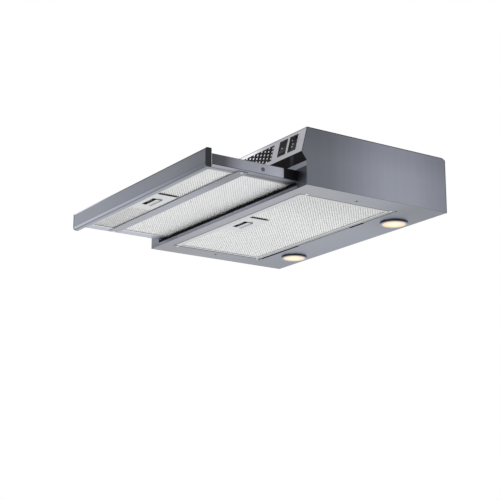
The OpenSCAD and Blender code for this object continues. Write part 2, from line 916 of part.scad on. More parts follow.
module guide(s) {
    foot_z = (guide_low + guide_high) / 2;
    color(dark) mirror([s < 0 ? 1 : 0, 0, 0]) {
        difference() {
            block(
                [guide_in - guide_lip, guide_front, guide_low - guide_t],
                [guide_in + guide_t, guide_rear, guide_high + guide_t]);
            block(
                [guide_in - guide_lip - over, guide_front - over, guide_low],
                [guide_in, guide_rear + over, guide_high]);
        }
        for (y = [guide_front + foot_set, guide_rear - foot_set - foot_l]) {
            block([guide_in, y, foot_z], [inner_w / 2, y + foot_l, foot_z + guide_t]);
            block([inner_w / 2 - guide_t, y, guide_low], [inner_w / 2, y + foot_l, guide_high]);
        }
    }
}

module guide_left() {
    guide(-1);
}

module guide_right() {
    guide(1);
}

module tray_runner(s) {
    color(black) mirror([s < 0 ? 1 : 0, 0, 0])
        block(
            [runner_in, side_end, tray_z + flange_t],
            [runner_out, side_end + runner_l, runner_high]);
}

module tray_runner_left() {
    tray_runner(-1);
}

module tray_runner_right() {
    tray_runner(1);
}

// Tray

module tray_side(s) {
    color(steel) mirror([s < 0 ? 1 : 0, 0, 0]) difference() {
        union() {
            block([tray_half - tray_sheet, side_start, tray_z], [tray_half, side_end, tray_top]);
            block([flange_in, rail_rear, tray_z], [runner_in, tray_rear - tray_sheet, tray_z + flange_t]);
            block([runner_in - tray_sheet, side_end - tray_sheet, tray_z], [runner_in, tray_rear, tray_top]);
            block([runner_in - tray_sheet, side_end - tray_sheet, tray_z], [tray_half, side_end, tray_top]);
            block([runner_in - tray_sheet, rail_rear, tray_z], [tray_half, side_end, tray_z + flange_t]);
            block(
                [runner_in - tray_sheet, side_end - tray_sheet, tray_z],
                [runner_out, side_end + runner_l, tray_z + flange_t]);
        }
        stop_axis(stop_hole_r);
        translate([cross_screw_x, cross_screw_y, 0])
            rod(screw_r + screw_gap, tray_z - over, tray_z + flange_t + over);
    }
}

stop_y = side_start + stop_back;
stop_z = tray_z + tray_h / 2;
stop_hole_r = 2.2;
stop_head_t = 1;
cross_screw_set = 9;
cross_screw_x = tray_half - cross_screw_set;
cross_screw_y = (cross_front + cross_rear) / 2;

module stop_axis(r) {
    translate([tray_half - 4 * tray_sheet, stop_y, stop_z])
        rotate([0, 90, 0]) cylinder(r = r, h = 6 * tray_sheet);
}

module tray_side_left() {
    tray_side(-1);
}

module tray_side_right() {
    tray_side(1);
}

module tray_stop_screws() {
    color(dark) for (s = [0, 1]) {
        mirror([s, 0, 0]) {
            translate([tray_half, stop_y, stop_z]) rotate([0, 90, 0])
                cylinder(r = stop_head_r, h = stop_head_t);
            translate([tray_half - 3 * tray_sheet, stop_y, stop_z]) rotate([0, 90, 0])
                cylinder(r = stop_hole_r - screw_gap, h = 3 * tray_sheet + stop_head_t / 2);
            translate([tray_half - 3 * tray_sheet, stop_y, stop_z]) rotate([0, 90, 0])
                cylinder(r = stop_head_r, h = 2 * tray_sheet);
        }
    }
}

module tray_front_bar() {
    half = bar_half - cap_t;
    color(side_steel) along_x(2 * half) difference() {
        bar_outline(0);
        bar_outline(bar_wall);
    }
}

// The bar's section, with its lower front edge rounded. The caps share it, with their rise on top
module bar_outline(inset) {
    low = bar_low + inset;
    front = bar_back - bar_t + inset;
    r = bar_r - inset / 2;
    translate([front + r, low]) square([bar_t - 2 * inset - r, bar_top - bar_low - 2 * inset]);
    translate([front, low + r]) square([bar_t - 2 * inset, bar_top - bar_low - 2 * inset - r]);
    translate([front + r, low + r]) circle(r);
}

module bar_cap(s) {
    front = bar_back - bar_t;
    color(black) translate([s * (bar_half - cap_t / 2), 0, 0]) along_x(cap_t) {
        bar_outline(0);
        polygon([
            [front, bar_top], [front + cap_rise, bar_top + cap_rise], [bar_back, bar_top + cap_rise],
            [bar_back, bar_top - over], [front, bar_top - over]
        ]);
    }
}

module bar_cap_left() {
    bar_cap(-1);
}

module bar_cap_right() {
    bar_cap(1);
}

module tray_front_rail() {
    half = tray_half - tray_sheet;
    color(steel) {
        block([-half, bar_back, tray_z], [half, bar_back + tray_sheet, tray_top - over]);
        block([-half, bar_back, tray_z], [half, rail_rear, tray_z + flange_t]);
    }
}

module tray_cross_bar() {
    half = runner_in - tray_fit;
    color(steel) difference() {
        block([-half, cross_front, tray_z - cross_t], [half, cross_rear, tray_z]);
        for (s = [-1, 1]) {
            translate([s * cross_screw_x, cross_screw_y, 0])
                rod(screw_r + screw_gap, tray_z - cross_t - over, tray_z + over);
        }
    }
}

module cross_bar_screws() {
    head_r = 3;
    head_h = 1.2;
    color(bright) for (s = [-1, 1]) {
        translate([s * cross_screw_x, cross_screw_y, 0]) {
            rod(head_r, tray_z - cross_t - head_h, tray_z - cross_t);
            rod(screw_r, tray_z - cross_t - head_h / 2, tray_z + flange_t + head_h);
            rod(head_r, tray_z + flange_t, tray_z + flange_t + 2 * head_h);
        }
    }
}

module tray_rear_bar() {
    half = runner_in - tray_sheet;
    color(steel) {
        block([-half, tray_rear - rear_ledge_w, tray_z - cross_t], [half, tray_rear, tray_z]);
        block([-half, tray_rear - tray_sheet, tray_z - cross_t], [half, tray_rear, tray_z + tray_filter_t]);
    }
}

// Blower

module scroll_outline(inset, mouth) {
    polygon(concat(
        scroll_points(inset),
        [
            [scroll_x + scroll_end_r - inset, mouth],
            [tongue_x + inset, mouth],
            [tongue_x + inset, tongue_y]
        ]));
}

module blower_scroll() {
    boss_r = 6;
    boss_angles = [45, 165, 225, 345];
    color(black) {
        difference() {
            translate([0, 0, scroll_low + duct_wall])
                linear_extrude(height = scroll_top - scroll_low - duct_wall) scroll_outline(0, plenum_front);
            translate([0, 0, scroll_low])
                linear_extrude(height = scroll_top - scroll_low - duct_wall)
                scroll_outline(duct_wall, plenum_front + over);
        }
        for (a = boss_angles) {
            translate(concat([scroll_x, scroll_y] + impeller_r * [cos(a), sin(a)], [0]))
                rod(boss_r, scroll_top - duct_wall / 2, body_h - sheet);
        }
    }
}

module blower_cover() {
    lip_r = 3;
    color(dark) difference() {
        union() {
            translate([0, 0, scroll_low])
                linear_extrude(height = duct_wall) scroll_outline(0, plenum_front);
            translate([scroll_x, scroll_y, 0])
                rod(inlet_r + lip_r, scroll_low - lip_r, scroll_low + duct_wall);
        }
        translate([scroll_x, scroll_y, 0])
            rod(inlet_r, scroll_low - 2 * lip_r, scroll_low + duct_wall + over);
    }
}

shaft_reach = 14;
motor_boss_h = 2;
inlet_clear = 3;
roof_clear = 4;
motor_low = scroll_top - duct_wall - motor_h;
impeller_low = scroll_low + duct_wall + inlet_clear;
impeller_high = scroll_top - duct_wall - roof_clear;
hub_low = motor_low - shaft_reach;

module at_blower() {
    translate([scroll_x, scroll_y, 0]) children();
}

module blower_motor() {
    color(bright) at_blower() difference() {
        union() {
            rod(motor_r, motor_low, scroll_top - duct_wall);
            rod(3 * shaft_r, motor_low - motor_boss_h, motor_low + over);
        }
        rod(shaft_r + shaft_gap, motor_low - motor_boss_h - over, motor_low + motor_h / 2);
    }
}

module impeller() {
    web_t = 2;
    rim_t = 2;
    blade_angle = 25;
    color(black) at_blower() {
        rod(shaft_r, hub_low + web_t / 2, motor_low + motor_h / 2 - over);
        rod(2.5 * shaft_r, hub_low + web_t / 2, motor_low - motor_boss_h - over);
        rod(impeller_r - blade_d / 2, hub_low, hub_low + web_t);
        for (z = [impeller_low, impeller_high - rim_t]) {
            difference() {
                rod(impeller_r, z, z + rim_t);
                rod(impeller_r - blade_d / 3, z - over, z + rim_t + over);
            }
        }
        for (i = [0 : blade_count - 1]) {
            rotate([0, 0, i * 360 / blade_count]) translate([impeller_r - blade_d, 0, 0])
                rotate([0, 0, blade_angle])
                block(
                    [0, -blade_t / 2, impeller_low + rim_t / 2],
                    [0.98 * blade_d, blade_t / 2, impeller_high - rim_t / 2]);
        }
    }
}

// Outlet

module at_collar() {
    translate([0, -collar_back, 0]) children();
}

module outlet_plenum() {
    mouth_low = [tongue_x + duct_wall, plenum_front - over, scroll_low + 2 * duct_wall];
    color(black) difference() {
        block([-plenum_half, plenum_front, scroll_low], [plenum_half, plenum_rear, body_h - sheet]);
        block(
            [-plenum_half + duct_wall, plenum_front + duct_wall, scroll_low + duct_wall],
            [plenum_half - duct_wall, plenum_rear - duct_wall, body_h - sheet - duct_wall]);
        block(mouth_low, [plenum_half - 2 * duct_wall, plenum_front + 2 * duct_wall, scroll_top - duct_wall]);
        block(
            [-plenum_half - over, plenum_front + foot_l + duct_wall, duct_low + duct_wall],
            [-plenum_half + 2 * duct_wall, plenum_front + 3 * foot_l - duct_wall, duct_high - duct_wall]);
        at_collar() rod(collar_r - collar_wall, body_h - 3 * duct_wall, body_h);
    }
}

flange_reach = 9;
collar_flange_t = 1.5;
rod_z = body_h + rod_up;
stop_drop = 0.9;
stop_ring_t = 2;
stop_ring_w = 3;

module duct_collar() {
    color(dark) difference() {
        at_collar() {
            difference() {
                rod(collar_r, body_h + collar_flange_t, body_h + collar_h);
                rod(collar_r - collar_wall, body_h, body_h + collar_h + over);
            }
            difference() {
                rod(collar_r - collar_wall / 2, rod_z - stop_drop - stop_ring_t, rod_z - stop_drop);
                rod(collar_r - collar_wall - stop_ring_w, body_h, rod_z);
            }
        }
        at_rod() cylinder(r = rod_r + shaft_gap, h = 2 * collar_r + 2 * over, center = true);
    }
}

module collar_flange() {
    color(dark) at_collar() difference() {
        rod(collar_r + flange_reach, body_h, body_h + collar_flange_t);
        rod(collar_r - collar_wall, body_h - over, body_h + collar_flange_t + over);
    }
}

module at_rod() {
    translate([0, -collar_back, rod_z]) rotate([0, 90, 0]) children();
}

module damper_rod() {
    color(bright) at_rod() cylinder(r = rod_r, h = 2 * collar_r - collar_wall, center = true);
}

flap_t = 1.2;
flap_gap = 1;
knuckle_wall = 1.6;
knuckle_r = rod_r + knuckle_wall;
knuckle_l = 16;
knuckle_gap = 0.5;

// A half round flap to the rear of the rod, with knuckles at the given places along X
module damper_flap(places) {
    flap_r = collar_r - collar_wall - flap_gap;
    root = knuckle_r + knuckle_gap;
    translate([0, -collar_back, rod_z]) difference() {
        union() {
            intersection() {
                rod(flap_r, -flap_t / 2, flap_t / 2);
                block([-flap_r, root, -flap_t], [flap_r, flap_r + over, flap_t]);
            }
            for (x = places) {
                translate([x, 0, 0]) {
                    rotate([0, 90, 0]) cylinder(r = knuckle_r, h = knuckle_l, center = true);
                    block([-knuckle_l / 2, 0, -flap_t / 2], [knuckle_l / 2, root + over, flap_t / 2]);
                }
            }
        }
        rotate([0, 90, 0]) cylinder(r = rod_r + shaft_gap, h = 2 * collar_r, center = true);
    }
}

module damper_rear() {
    color(aluminium) damper_flap([-knuckle_l / 2 - knuckle_gap, 2.5 * knuckle_l]);
}

module damper_front() {
    color(aluminium) translate([0, -2 * collar_back, 0]) mirror([0, 1, 0])
        damper_flap([knuckle_l / 2 + knuckle_gap, -2.5 * knuckle_l]);
}

// Electrics

gland_side = 74;
gland_x = body_w / 2 - gland_side;
gland_back = 45;
gland_r = 8;
gland_hole_r = gland_r + screw_gap;
gland_nut_r = 11;
capacitor_side = 84;
capacitor_x = body_w / 2 - capacitor_side;
capacitor_back = 45;
capacitor_r = 15;
capacitor_l = 40;
capacitor_stud_r = 4;
stud_gap = 0.2;
box_wall = 2;
box_reach = [30, 33];
box_low = [gland_x, -gland_back] - box_reach;
box_size = [67, 66];
box_high = box_low + box_size;
box_h = 34;
box_top = body_h - sheet;
driver_reach = [75, 160];
driver_size = [40, 105];
driver_low = [gland_x, -gland_back] - driver_reach;
driver_high = driver_low + driver_size;
driver_h = 24;

module terminal_box() {
    z = box_top - box_h;
    color(white_plastic) difference() {
        block(concat(box_low, [z]), concat(box_high, [box_top]));
        block(
            [box_low[0] + box_wall, box_low[1] + box_wall, z - over],
            [box_high[0] - box_wall, box_high[1] - box_wall, box_top - box_wall]);
        translate([gland_x, -gland_back, 0]) rod(gland_hole_r, box_top - 2 * box_wall, box_top + over);
    }
}

module terminal_cover() {
    z = box_top - box_h;
    block_h = 14;
    color(white_plastic) {
        block(concat(box_low, [z - box_wall]), concat(box_high, [z]));
        block(
            [box_low[0] + 5 * box_wall, box_low[1] + 3 * box_wall, z - box_wall / 2],
            [box_high[0] - 5 * box_wall, box_low[1] + 8 * box_wall, z + block_h]);
    }
}

module cable_gland() {
    flange_h = 3;
    cap_h = 9;
    tail = 14;
    nut_h = 4;
    color(dark) translate([gland_x, -gland_back, 0]) difference() {
        union() {
            rod(gland_nut_r, body_h, body_h + flange_h);
            rod(gland_r, box_top - tail, body_h + flange_h + over);
            translate([0, 0, body_h + flange_h]) cylinder(r = gland_nut_r, h = cap_h, $fn = 6);
            rod(gland_nut_r - over, box_top - box_wall - nut_h, box_top - box_wall);
        }
        rod(gland_bore_r, box_top - tail - over, body_h + flange_h + cap_h + over);
    }
}

module lamp_driver() {
    rib = 2;
    color(white_plastic) {
        block(
            concat(driver_low, [box_top - driver_h]),
            concat(driver_high, [box_top]));
        block(
            [driver_low[0] + 2 * rib, driver_low[1] - 4 * rib, box_top - rib],
            [driver_high[0] - 2 * rib, driver_high[1] + 4 * rib, box_top]);
    }
}

module motor_capacitor() {
    color(white_plastic) translate([-capacitor_x, -capacitor_back, 0]) {
        rod(capacitor_r, box_top - capacitor_l, box_top);
        rod(capacitor_stud_r, box_top - over, body_h + 6 * sheet);
        rod(2 * capacitor_stud_r, body_h, body_h + 4 * sheet);
    }
}

side_panel_left();
side_panel_right();
top_panel();
back_panel();
bottom_pan();
front_frame();
soffit();
control_panel();
recirculation_duct();
fan_switch_housing();
light_switch_housing();
fan_rocker();
light_rocker();
main_filter_frame();
main_filter_mesh();
main_latch_plate();
main_latch_slider();
lamp_trim_left();
lamp_trim_right();
lamp_lens_left();
lamp_lens_right();
lamp_module_left();
lamp_module_right();
guide_left();
guide_right();
pan_screws();
seam_screws();
blower_scroll();
blower_cover();
blower_motor();
impeller();
outlet_plenum();
duct_collar();
damper_rod();
damper_front();
damper_rear();
lamp_driver();
terminal_box();
terminal_cover();
motor_capacitor();
cable_gland();
collar_flange();
tray_front_bar();
bar_cap_left();
bar_cap_right();
tray_front_rail();
tray_side_left();
tray_side_right();
tray_runner_left();
tray_runner_right();
tray_cross_bar();
tray_rear_bar();
tray_stop_screws();
cross_bar_screws();
front_filter_frame();
front_filter_mesh();
front_latch_plate();
front_latch_slider();
rear_filter_frame();
rear_filter_mesh();
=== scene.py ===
# %% [markdown]
# # A pull out range hood, dressed for its portrait
# The solids come from the CAD model: casing, tray, filters, latches, blower and duct.
# This lesson gives each of them its finish, and builds in mesh code what solids leave plain:
# the expanded metal of the grease filters, the screw heads, the lamp lenses and the switch marks.

# %% Open the frame
import math

import bpy
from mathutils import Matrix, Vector


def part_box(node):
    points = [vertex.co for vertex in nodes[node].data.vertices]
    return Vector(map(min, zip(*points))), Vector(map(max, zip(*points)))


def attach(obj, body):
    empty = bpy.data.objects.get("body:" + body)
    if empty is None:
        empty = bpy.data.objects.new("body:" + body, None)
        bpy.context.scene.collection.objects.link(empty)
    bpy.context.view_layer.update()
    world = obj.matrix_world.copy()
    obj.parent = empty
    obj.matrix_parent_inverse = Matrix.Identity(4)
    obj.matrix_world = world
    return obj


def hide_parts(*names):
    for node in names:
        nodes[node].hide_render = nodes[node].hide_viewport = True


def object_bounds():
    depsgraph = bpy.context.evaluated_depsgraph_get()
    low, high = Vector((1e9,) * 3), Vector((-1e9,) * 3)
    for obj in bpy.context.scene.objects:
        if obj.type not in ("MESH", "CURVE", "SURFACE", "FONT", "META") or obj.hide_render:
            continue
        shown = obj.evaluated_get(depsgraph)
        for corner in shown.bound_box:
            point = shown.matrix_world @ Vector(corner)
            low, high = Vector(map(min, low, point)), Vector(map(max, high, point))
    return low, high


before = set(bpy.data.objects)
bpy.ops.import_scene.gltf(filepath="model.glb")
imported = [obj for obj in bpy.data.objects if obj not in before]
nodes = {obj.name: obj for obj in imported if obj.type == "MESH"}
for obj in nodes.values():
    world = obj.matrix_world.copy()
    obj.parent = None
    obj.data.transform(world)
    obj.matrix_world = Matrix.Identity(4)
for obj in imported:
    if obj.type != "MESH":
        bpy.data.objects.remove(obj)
cad_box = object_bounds()
MM = 0.001

# %% [markdown]
# ## The camera
# The photograph looks up at the hood from below its right front corner, from almost three metres.
# A long lens keeps the edges nearly parallel. The camera's back vector is worked out from an
# azimuth and an elevation, as a surveyor would, because two angles are easier to read than a
# rotation.

# %% Set up the camera
CAMERA_PLACE = Vector((2.18192, -1.75154, -0.72282))
CAMERA_AZIMUTH = math.radians(56.12)
CAMERA_ELEVATION = math.radians(-14.24)
CAMERA_LENS = 92.57

camera_data = bpy.data.cameras.new("portrait_camera")
camera_data.lens = CAMERA_LENS
camera_data.clip_end = 100
camera = bpy.data.objects.new("portrait_camera", camera_data)
bpy.context.scene.collection.objects.link(camera)
back = Vector((
    math.sin(CAMERA_AZIMUTH) * math.cos(CAMERA_ELEVATION),
    -math.cos(CAMERA_AZIMUTH) * math.cos(CAMERA_ELEVATION),
    math.sin(CAMERA_ELEVATION),
))
camera.location = CAMERA_PLACE
camera.rotation_euler = (-back).to_track_quat("-Z", "Y").to_euler()
bpy.context.scene.camera = camera
print("camera distance from the origin:", round(CAMERA_PLACE.length, 3), "m")

# %% [markdown]
# ## Sums with sockets
# A finish in Blender is a small program made of nodes. Written node by node it is long and hard to
# read, so one class wraps a socket and turns +, -, * and / into Math nodes. A second class makes
# any other node from its type, its settings and what goes into its sockets.


# %% Wrap a socket
class Wire:
    """An output socket that can stand in a sum."""

    def __init__(self, finish, socket):
        self.finish = finish
        self.socket = socket

    def maths(self, operation, *values):
        """A Math node on these values, in their order."""
        return self.finish.node("ShaderNodeMath", {"operation": operation}, dict(enumerate(values)))

    def __add__(self, other):
        return self.maths("ADD", self, other)

    def __radd__(self, other):
        return self.maths("ADD", other, self)

    def __sub__(self, other):
        return self.maths("SUBTRACT", self, other)

    def __rsub__(self, other):
        return self.maths("SUBTRACT", other, self)

    def __mul__(self, other):
        return self.maths("MULTIPLY", self, other)

    def __rmul__(self, other):
        return self.maths("MULTIPLY", other, self)

    def __truediv__(self, other):
        return self.maths("DIVIDE", self, other)

    def __rtruediv__(self, other):
        return self.maths("DIVIDE", other, self)

    def __abs__(self):
        return self.maths("ABSOLUTE", self)

    def fraction(self):
        """What is left after the whole part."""
        return self.maths("FRACT", self)

    def larger(self, other):
        """The larger of two values."""
        return self.maths("MAXIMUM", self, other)

    def step(self, low, high, start=0.0, end=1.0):
        """Goes smoothly from start to end while the value goes from low to high."""
        sockets = {"Value": self, "From Min": low, "From Max": high, "To Min": start, "To Max": end}
        return self.finish.node("ShaderNodeMapRange", {"interpolation_type": "SMOOTHSTEP"}, sockets)


# %% Wrap a material
class Finish:
    """One material, built around its Principled shader."""

    def __init__(self, name, gloss=0.5, **constants):
        self.material = bpy.data.materials.new(name)
        self.material.use_nodes = True
        self.tree = self.material.node_tree
        self.shader = self.tree.nodes["Principled BSDF"]
        self.feed("Specular IOR Level", gloss)
        for words, value in constants.items():
            self.feed(words.replace("_", " ").title(), value)

    def feed(self, name, value, node=None):
        """Links a wire to a socket, or sets the socket to a plain value."""
        socket = (node or self.shader).inputs[name]
        if isinstance(value, Wire):
            self.tree.links.new(value.socket, socket)
        elif hasattr(value, "__len__") and len(socket.default_value) > len(value):
            socket.default_value = (*value, 1.0)
        else:
            socket.default_value = value

    def node(self, kind, settings=None, sockets=None, out=0):
        """Any node: its settings first, then its sockets. Returns one of its outputs."""
        made = self.tree.nodes.new(kind)
        for key, value in (settings or {}).items():
            if key == "stops":
                elements = made.color_ramp.elements
                while len(elements) < len(value):
                    elements.new(1.0)
                for element, (place, shade) in zip(elements, value):
                    element.position = place
                    element.color = (shade, shade, shade, 1.0)
            else:
                setattr(made, key, value)
        for name, value in (sockets or {}).items():
            self.feed(name, value, made)
        return Wire(self, made.outputs[out])

    def vector(self, operation, sockets, out=0):
        """A Vector Math node."""
        return self.node("ShaderNodeVectorMath", {"operation": operation}, sockets, out)

    def place(self):
        """The point on the surface, in the frame's metres."""
        return self.node("ShaderNodeTexCoord", out=3)

    def xyz(self):
        """The point's three coordinates."""
        split = self.node("ShaderNodeSeparateXYZ", {}, {"Vector": self.place()})
        return [split] + [Wire(self, split.socket.node.outputs[i]) for i in (1, 2)]

    def noise(self, grains, detail=2.0):
        """Noise with so many grains per metre, or so many along each of X, Y and Z."""
        each = grains if isinstance(grains, tuple) else (grains,) * 3
        grained = self.vector("MULTIPLY", {0: self.place(), 1: each})
        sockets = {"Vector": grained, "Scale": 1.0, "Detail": detail}
        return self.node("ShaderNodeTexNoise", {}, sockets)

    def ray(self, kind):
        """1 for rays of one kind and 0 for the others."""
        return self.node("ShaderNodeLightPath", out=kind)

    def scaled(self, vector, factor):
        """A place or a colour times a number."""
        return self.vector("SCALE", {0: vector, "Scale": factor})

    def mixed(self, factor, first, second):
        """One colour turning into another as the factor goes from 0 to 1."""
        sockets = {0: factor, 6: first, 7: second}
        return self.node("ShaderNodeMix", {"data_type": "RGBA"}, sockets, out=2)

    def radius(self, x, y):
        """The distance from an axis, from the two distances across it."""
        across = self.node("ShaderNodeCombineXYZ", {}, {"X": x, "Y": y})
        return self.vector("LENGTH", {0: across}, out=1)

    def bump(self, height, strength, distance):
        """A normal that follows a height."""
        sockets = {"Height": height, "Strength": strength, "Distance": distance}
        return self.node("ShaderNodeBump", {}, sockets)

    def coat(self, colour, shade, rough, normal=None):
        """Feeds the colour times its shade, the roughness and the normal. Returns the material."""
        self.feed("Base Color", self.scaled(colour, shade))
        self.feed("Roughness", rough)
        if normal:
            self.feed("Normal", normal)
        return self.material


# %% [markdown]
# ## Fields of light and shade
# A plain box in a photograph still shows soft fields, seams and lips. Here they are painted light
# and shade in the base colour, each a sum on the point's coordinates. A ramp gives a shade that
# changes along one direction, a mask limits a shade to a region, and a line is the distance from a
# plane turned into a thin stroke. All places are in millimetres, as on the drawing.
# region, and a line is the distance from a plane turned into a thin stroke. All places are in
# millimetres, as on the drawing.


# %% Ramps, masks and lines
def ramp(value, stops):
    """A shade through (place, shade) stops."""
    first, last = stops[0][0] * MM, stops[-1][0] * MM
    peak = max(shade for _, shade in stops)
    even = [((place * MM - first) / (last - first), shade / peak) for place, shade in stops]
    share = (value - first) / (last - first)
    return value.finish.node("ShaderNodeValToRGB", {"stops": even}, {"Fac": share}) * peak


def mask(value, start, end):
    """0 at one place and 1 at another."""
    return value.step(start * MM, end * MM)


def between(value, low, high, blur=0.6):
    """1 between two places, with soft edges."""
    soft = blur / 2
    return mask(value, low - soft, low + soft) * mask(value, high + soft, high - soft)


def patch(shade, *masks):
    """A shade that counts only where all its masks are 1."""
    where = masks[0]
    for other in masks[1:]:
        where = where * other
    return where * (shade - 1) + 1


def line(value, place, width, shade):
    """A thin stroke across a surface."""
    return abs(value - place * MM).step(width * 0.35 * MM, width * 0.65 * MM, shade, 1.0)


def drawn(node):
    """A node's corners in the drawing's millimetres."""
    return [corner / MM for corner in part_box(node)]


# %% [markdown]
# ## The studio
# The background is pure white, and the floor is far below the picture. The world gives the camera,
# and what mirrors it, that white, while the light it sheds is a little weaker, so that nothing
# clips. Three wide lamps add the soft differences between the faces of the casing.

# %% Light the studio
WORLD_LIGHT = 0.72
WHITE = (1.0, 1.0, 1.0)


class Sky(Finish):
    """The world's nodes, made by the same methods as a material's."""

    def __init__(self, world):
        world.use_nodes = True
        self.tree = world.node_tree
        self.tree.nodes.clear()
        self.shader = self.tree.nodes.new("ShaderNodeOutputWorld")


studio = bpy.data.worlds.new("studio")
bpy.context.scene.world = studio
sky = Sky(studio)
mirrored = sky.ray("Is Glossy Ray").larger(sky.ray("Is Transmission Ray"))
seen = sky.ray("Is Camera Ray").larger(mirrored)
light = sky.node("ShaderNodeBackground", {}, {"Color": WHITE, "Strength": WORLD_LIGHT})
white = sky.node("ShaderNodeBackground", {}, {"Color": WHITE, "Strength": 1.0})
sky.feed("Surface", sky.node("ShaderNodeMixShader", {}, {0: seen, 1: light, 2: white}))
bpy.context.scene.view_settings.view_transform = "Standard"
print("light from the world:", WORLD_LIGHT)


# %% Hang the lamps
def soft_lamp(name, place, aim, size, power):
    """A wide square lamp that the camera doesn't see."""
    data = bpy.data.lights.new(name, "AREA")
    data.size = size
    data.energy = power
    lamp = bpy.data.objects.new(name, data)
    bpy.context.scene.collection.objects.link(lamp)
    lamp.location = place
    lamp.rotation_euler = (Vector(aim) - Vector(place)).to_track_quat("-Z", "Y").to_euler()
    lamp.visible_camera = False


MIDDLE = (cad_box[0] + cad_box[1]) / 2
soft_lamp("floor_bounce", (0.6, -1.6, -1.3), MIDDLE, 1.8, 12)
soft_lamp("right_window", (2.6, 0.9, 0.6), MIDDLE, 1.4, 8)
soft_lamp("top_fill", (-0.6, -1.2, 2.2), MIDDLE, 2.0, 14)
print("lamps hung around", [round(v, 3) for v in MIDDLE])


# %% [markdown]
# ## Making pieces
# Every new piece is a mesh whose points are in the frame's metres, so its object stays at the
# origin and rides on a body. One function does the book-keeping for all of them.


# %% Make a piece
def mesh_object(name, points, faces, finish=None):
    """A mesh in the scene that belongs to no body yet."""
    mesh = bpy.data.meshes.new(name)
    mesh.from_pydata([tuple(p) for p in points], [], faces)
    mesh.update()
    if finish:
        mesh.materials.append(finish)
    made = bpy.data.objects.new(name, mesh)
    bpy.context.scene.collection.objects.link(made)
    return made


def make_piece(name, points, faces, body, slot, finish):
    """A mesh piece on a body, with a finish. The slot argument is not used."""
    piece = mesh_object(name, points, faces, finish)
    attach(piece, body)
    print(name, "faces:", len(faces))
    return piece


def oblong(left, front, right, rear):
    """The four corners of a rectangle."""
    return [(left, front), (right, front), (right, rear), (left, rear)]


def dress(finish, *names):
    """Gives solids from the CAD model their finish."""
    for name in names:
        data = nodes[name].data
        if not data.materials:
            data.materials.append(finish)
        for place in nodes[name].material_slots:
            place.material = finish
    print(finish.name, "on", ", ".join(names))


# %% [markdown]
# ## Floor
# The hood hangs well above a pale, matt floor with a faint cloudiness, which stays out of the
# picture. What the steel mirrors of it is white, like the rest of the room.

# %% Lay the floor
FLOOR_DROP = 1.6
FLOOR_HALF = 30.0
FLOOR_PALE = (0.86, 0.86, 0.86)
FLOOR_CLOUDS = 0.8

floor_finish = Finish("pale_floor")
cloud = floor_finish.noise(FLOOR_CLOUDS)
floor_finish.coat(FLOOR_PALE, cloud.step(0.3, 0.7, 0.98, 1.0), 0.9)
glossy = floor_finish.ray("Is Glossy Ray")
bare = Wire(floor_finish, floor_finish.shader.outputs[0])
glare = floor_finish.node("ShaderNodeEmission", {}, {"Color": WHITE, "Strength": 1.0})
shown = floor_finish.node("ShaderNodeMixShader", {}, {0: glossy, 1: bare, 2: glare})
floor_finish.feed("Surface", shown, floor_finish.tree.nodes["Material Output"])
corners = [(x, y, -FLOOR_DROP) for x, y in oblong(-FLOOR_HALF, -FLOOR_HALF, FLOOR_HALF, FLOOR_HALF)]
floor = mesh_object("floor", corners, [(0, 1, 2, 3)], floor_finish.material)
print("floor", FLOOR_DROP, "m below the hood")

# %% [markdown]
# ## Brushed stainless steel
# The sheet is drawn under an abrasive belt, which leaves long parallel scratches. Light spreads
# across them, so the sheet shows soft streaks. An image would repeat and isn't needed: noise that
# is stretched along the grain gives the streaks at two widths. The broad lighter and darker fields
# are painted reflection and shade, each a ramp along one direction.

# %% A steel for every face
FINE_ACROSS = 900.0
FINE_ALONG = 14.0
BROAD_ACROSS = 170.0
BROAD_ALONG = 3.0
STREAK_DEPTH = 0.00006
STREAK_BUMP = 0.25
FINE_SHADE, BROAD_SHADE = 0.22, 0.16
ROUGH_SPREAD = 0.16


def stretch(grain, across, along):
    """Grains per metre in each direction, for a grain that runs along one axis."""
    return tuple(along if axis == grain else across for axis in range(3))


def steel(name, colour, grain, fields=None, far=None, streaks=0.7, metallic=0.8, rough=0.36):
    """Brushed steel. fields paints light and shade at a point; far is (axis, from, to, second
    colour).
    """
    finish = Finish(name, metallic=metallic)
    fine = finish.noise(stretch(grain, FINE_ACROSS, FINE_ALONG), 3.0)
    broad = finish.noise(stretch(grain, BROAD_ACROSS, BROAD_ALONG), 2.0)
    shade = 1.0 + ((fine - 0.5) * FINE_SHADE + (broad - 0.5) * BROAD_SHADE) * streaks
    axes = finish.xyz()
    if fields:
        shade = shade * fields(*axes)
    # far paints a drift in the mirrored hue along one axis.
    if far:
        axis, start, end, second = far
        colour = finish.mixed(mask(axes[axis], start, end), colour, second)
    normal = finish.bump(fine, STREAK_BUMP * streaks, STREAK_DEPTH)
    return finish.coat(colour, shade, rough + (fine - 0.5) * ROUGH_SPREAD, normal)


# %% Measure the casing
X, Y, Z = 0, 1, 2
side_low, side_high = drawn("side_panel_right")
pan_low, pan_high = drawn("bottom_pan")
panel_low, panel_high = drawn("control_panel")
filter_low, filter_high = drawn("main_filter_frame")
PANEL_SET_BACK = 13.2
PANEL_LEAN = math.atan2(panel_high.z - panel_low.z, PANEL_SET_BACK)
print("casing:", [round(v, 1) for v in side_low], [round(v, 1) for v in side_high])
print("the panel leans", round(math.degrees(PANEL_LEAN), 1), "degrees")


def before_panel(y, z):
    """How far a point lies before the panel's plane, in metres, as numbers or as wires."""
    foot = (panel_low.y * math.sin(PANEL_LEAN) - panel_low.z * math.cos(PANEL_LEAN)) * MM
    return foot - (y * math.sin(PANEL_LEAN) - z * math.cos(PANEL_LEAN))
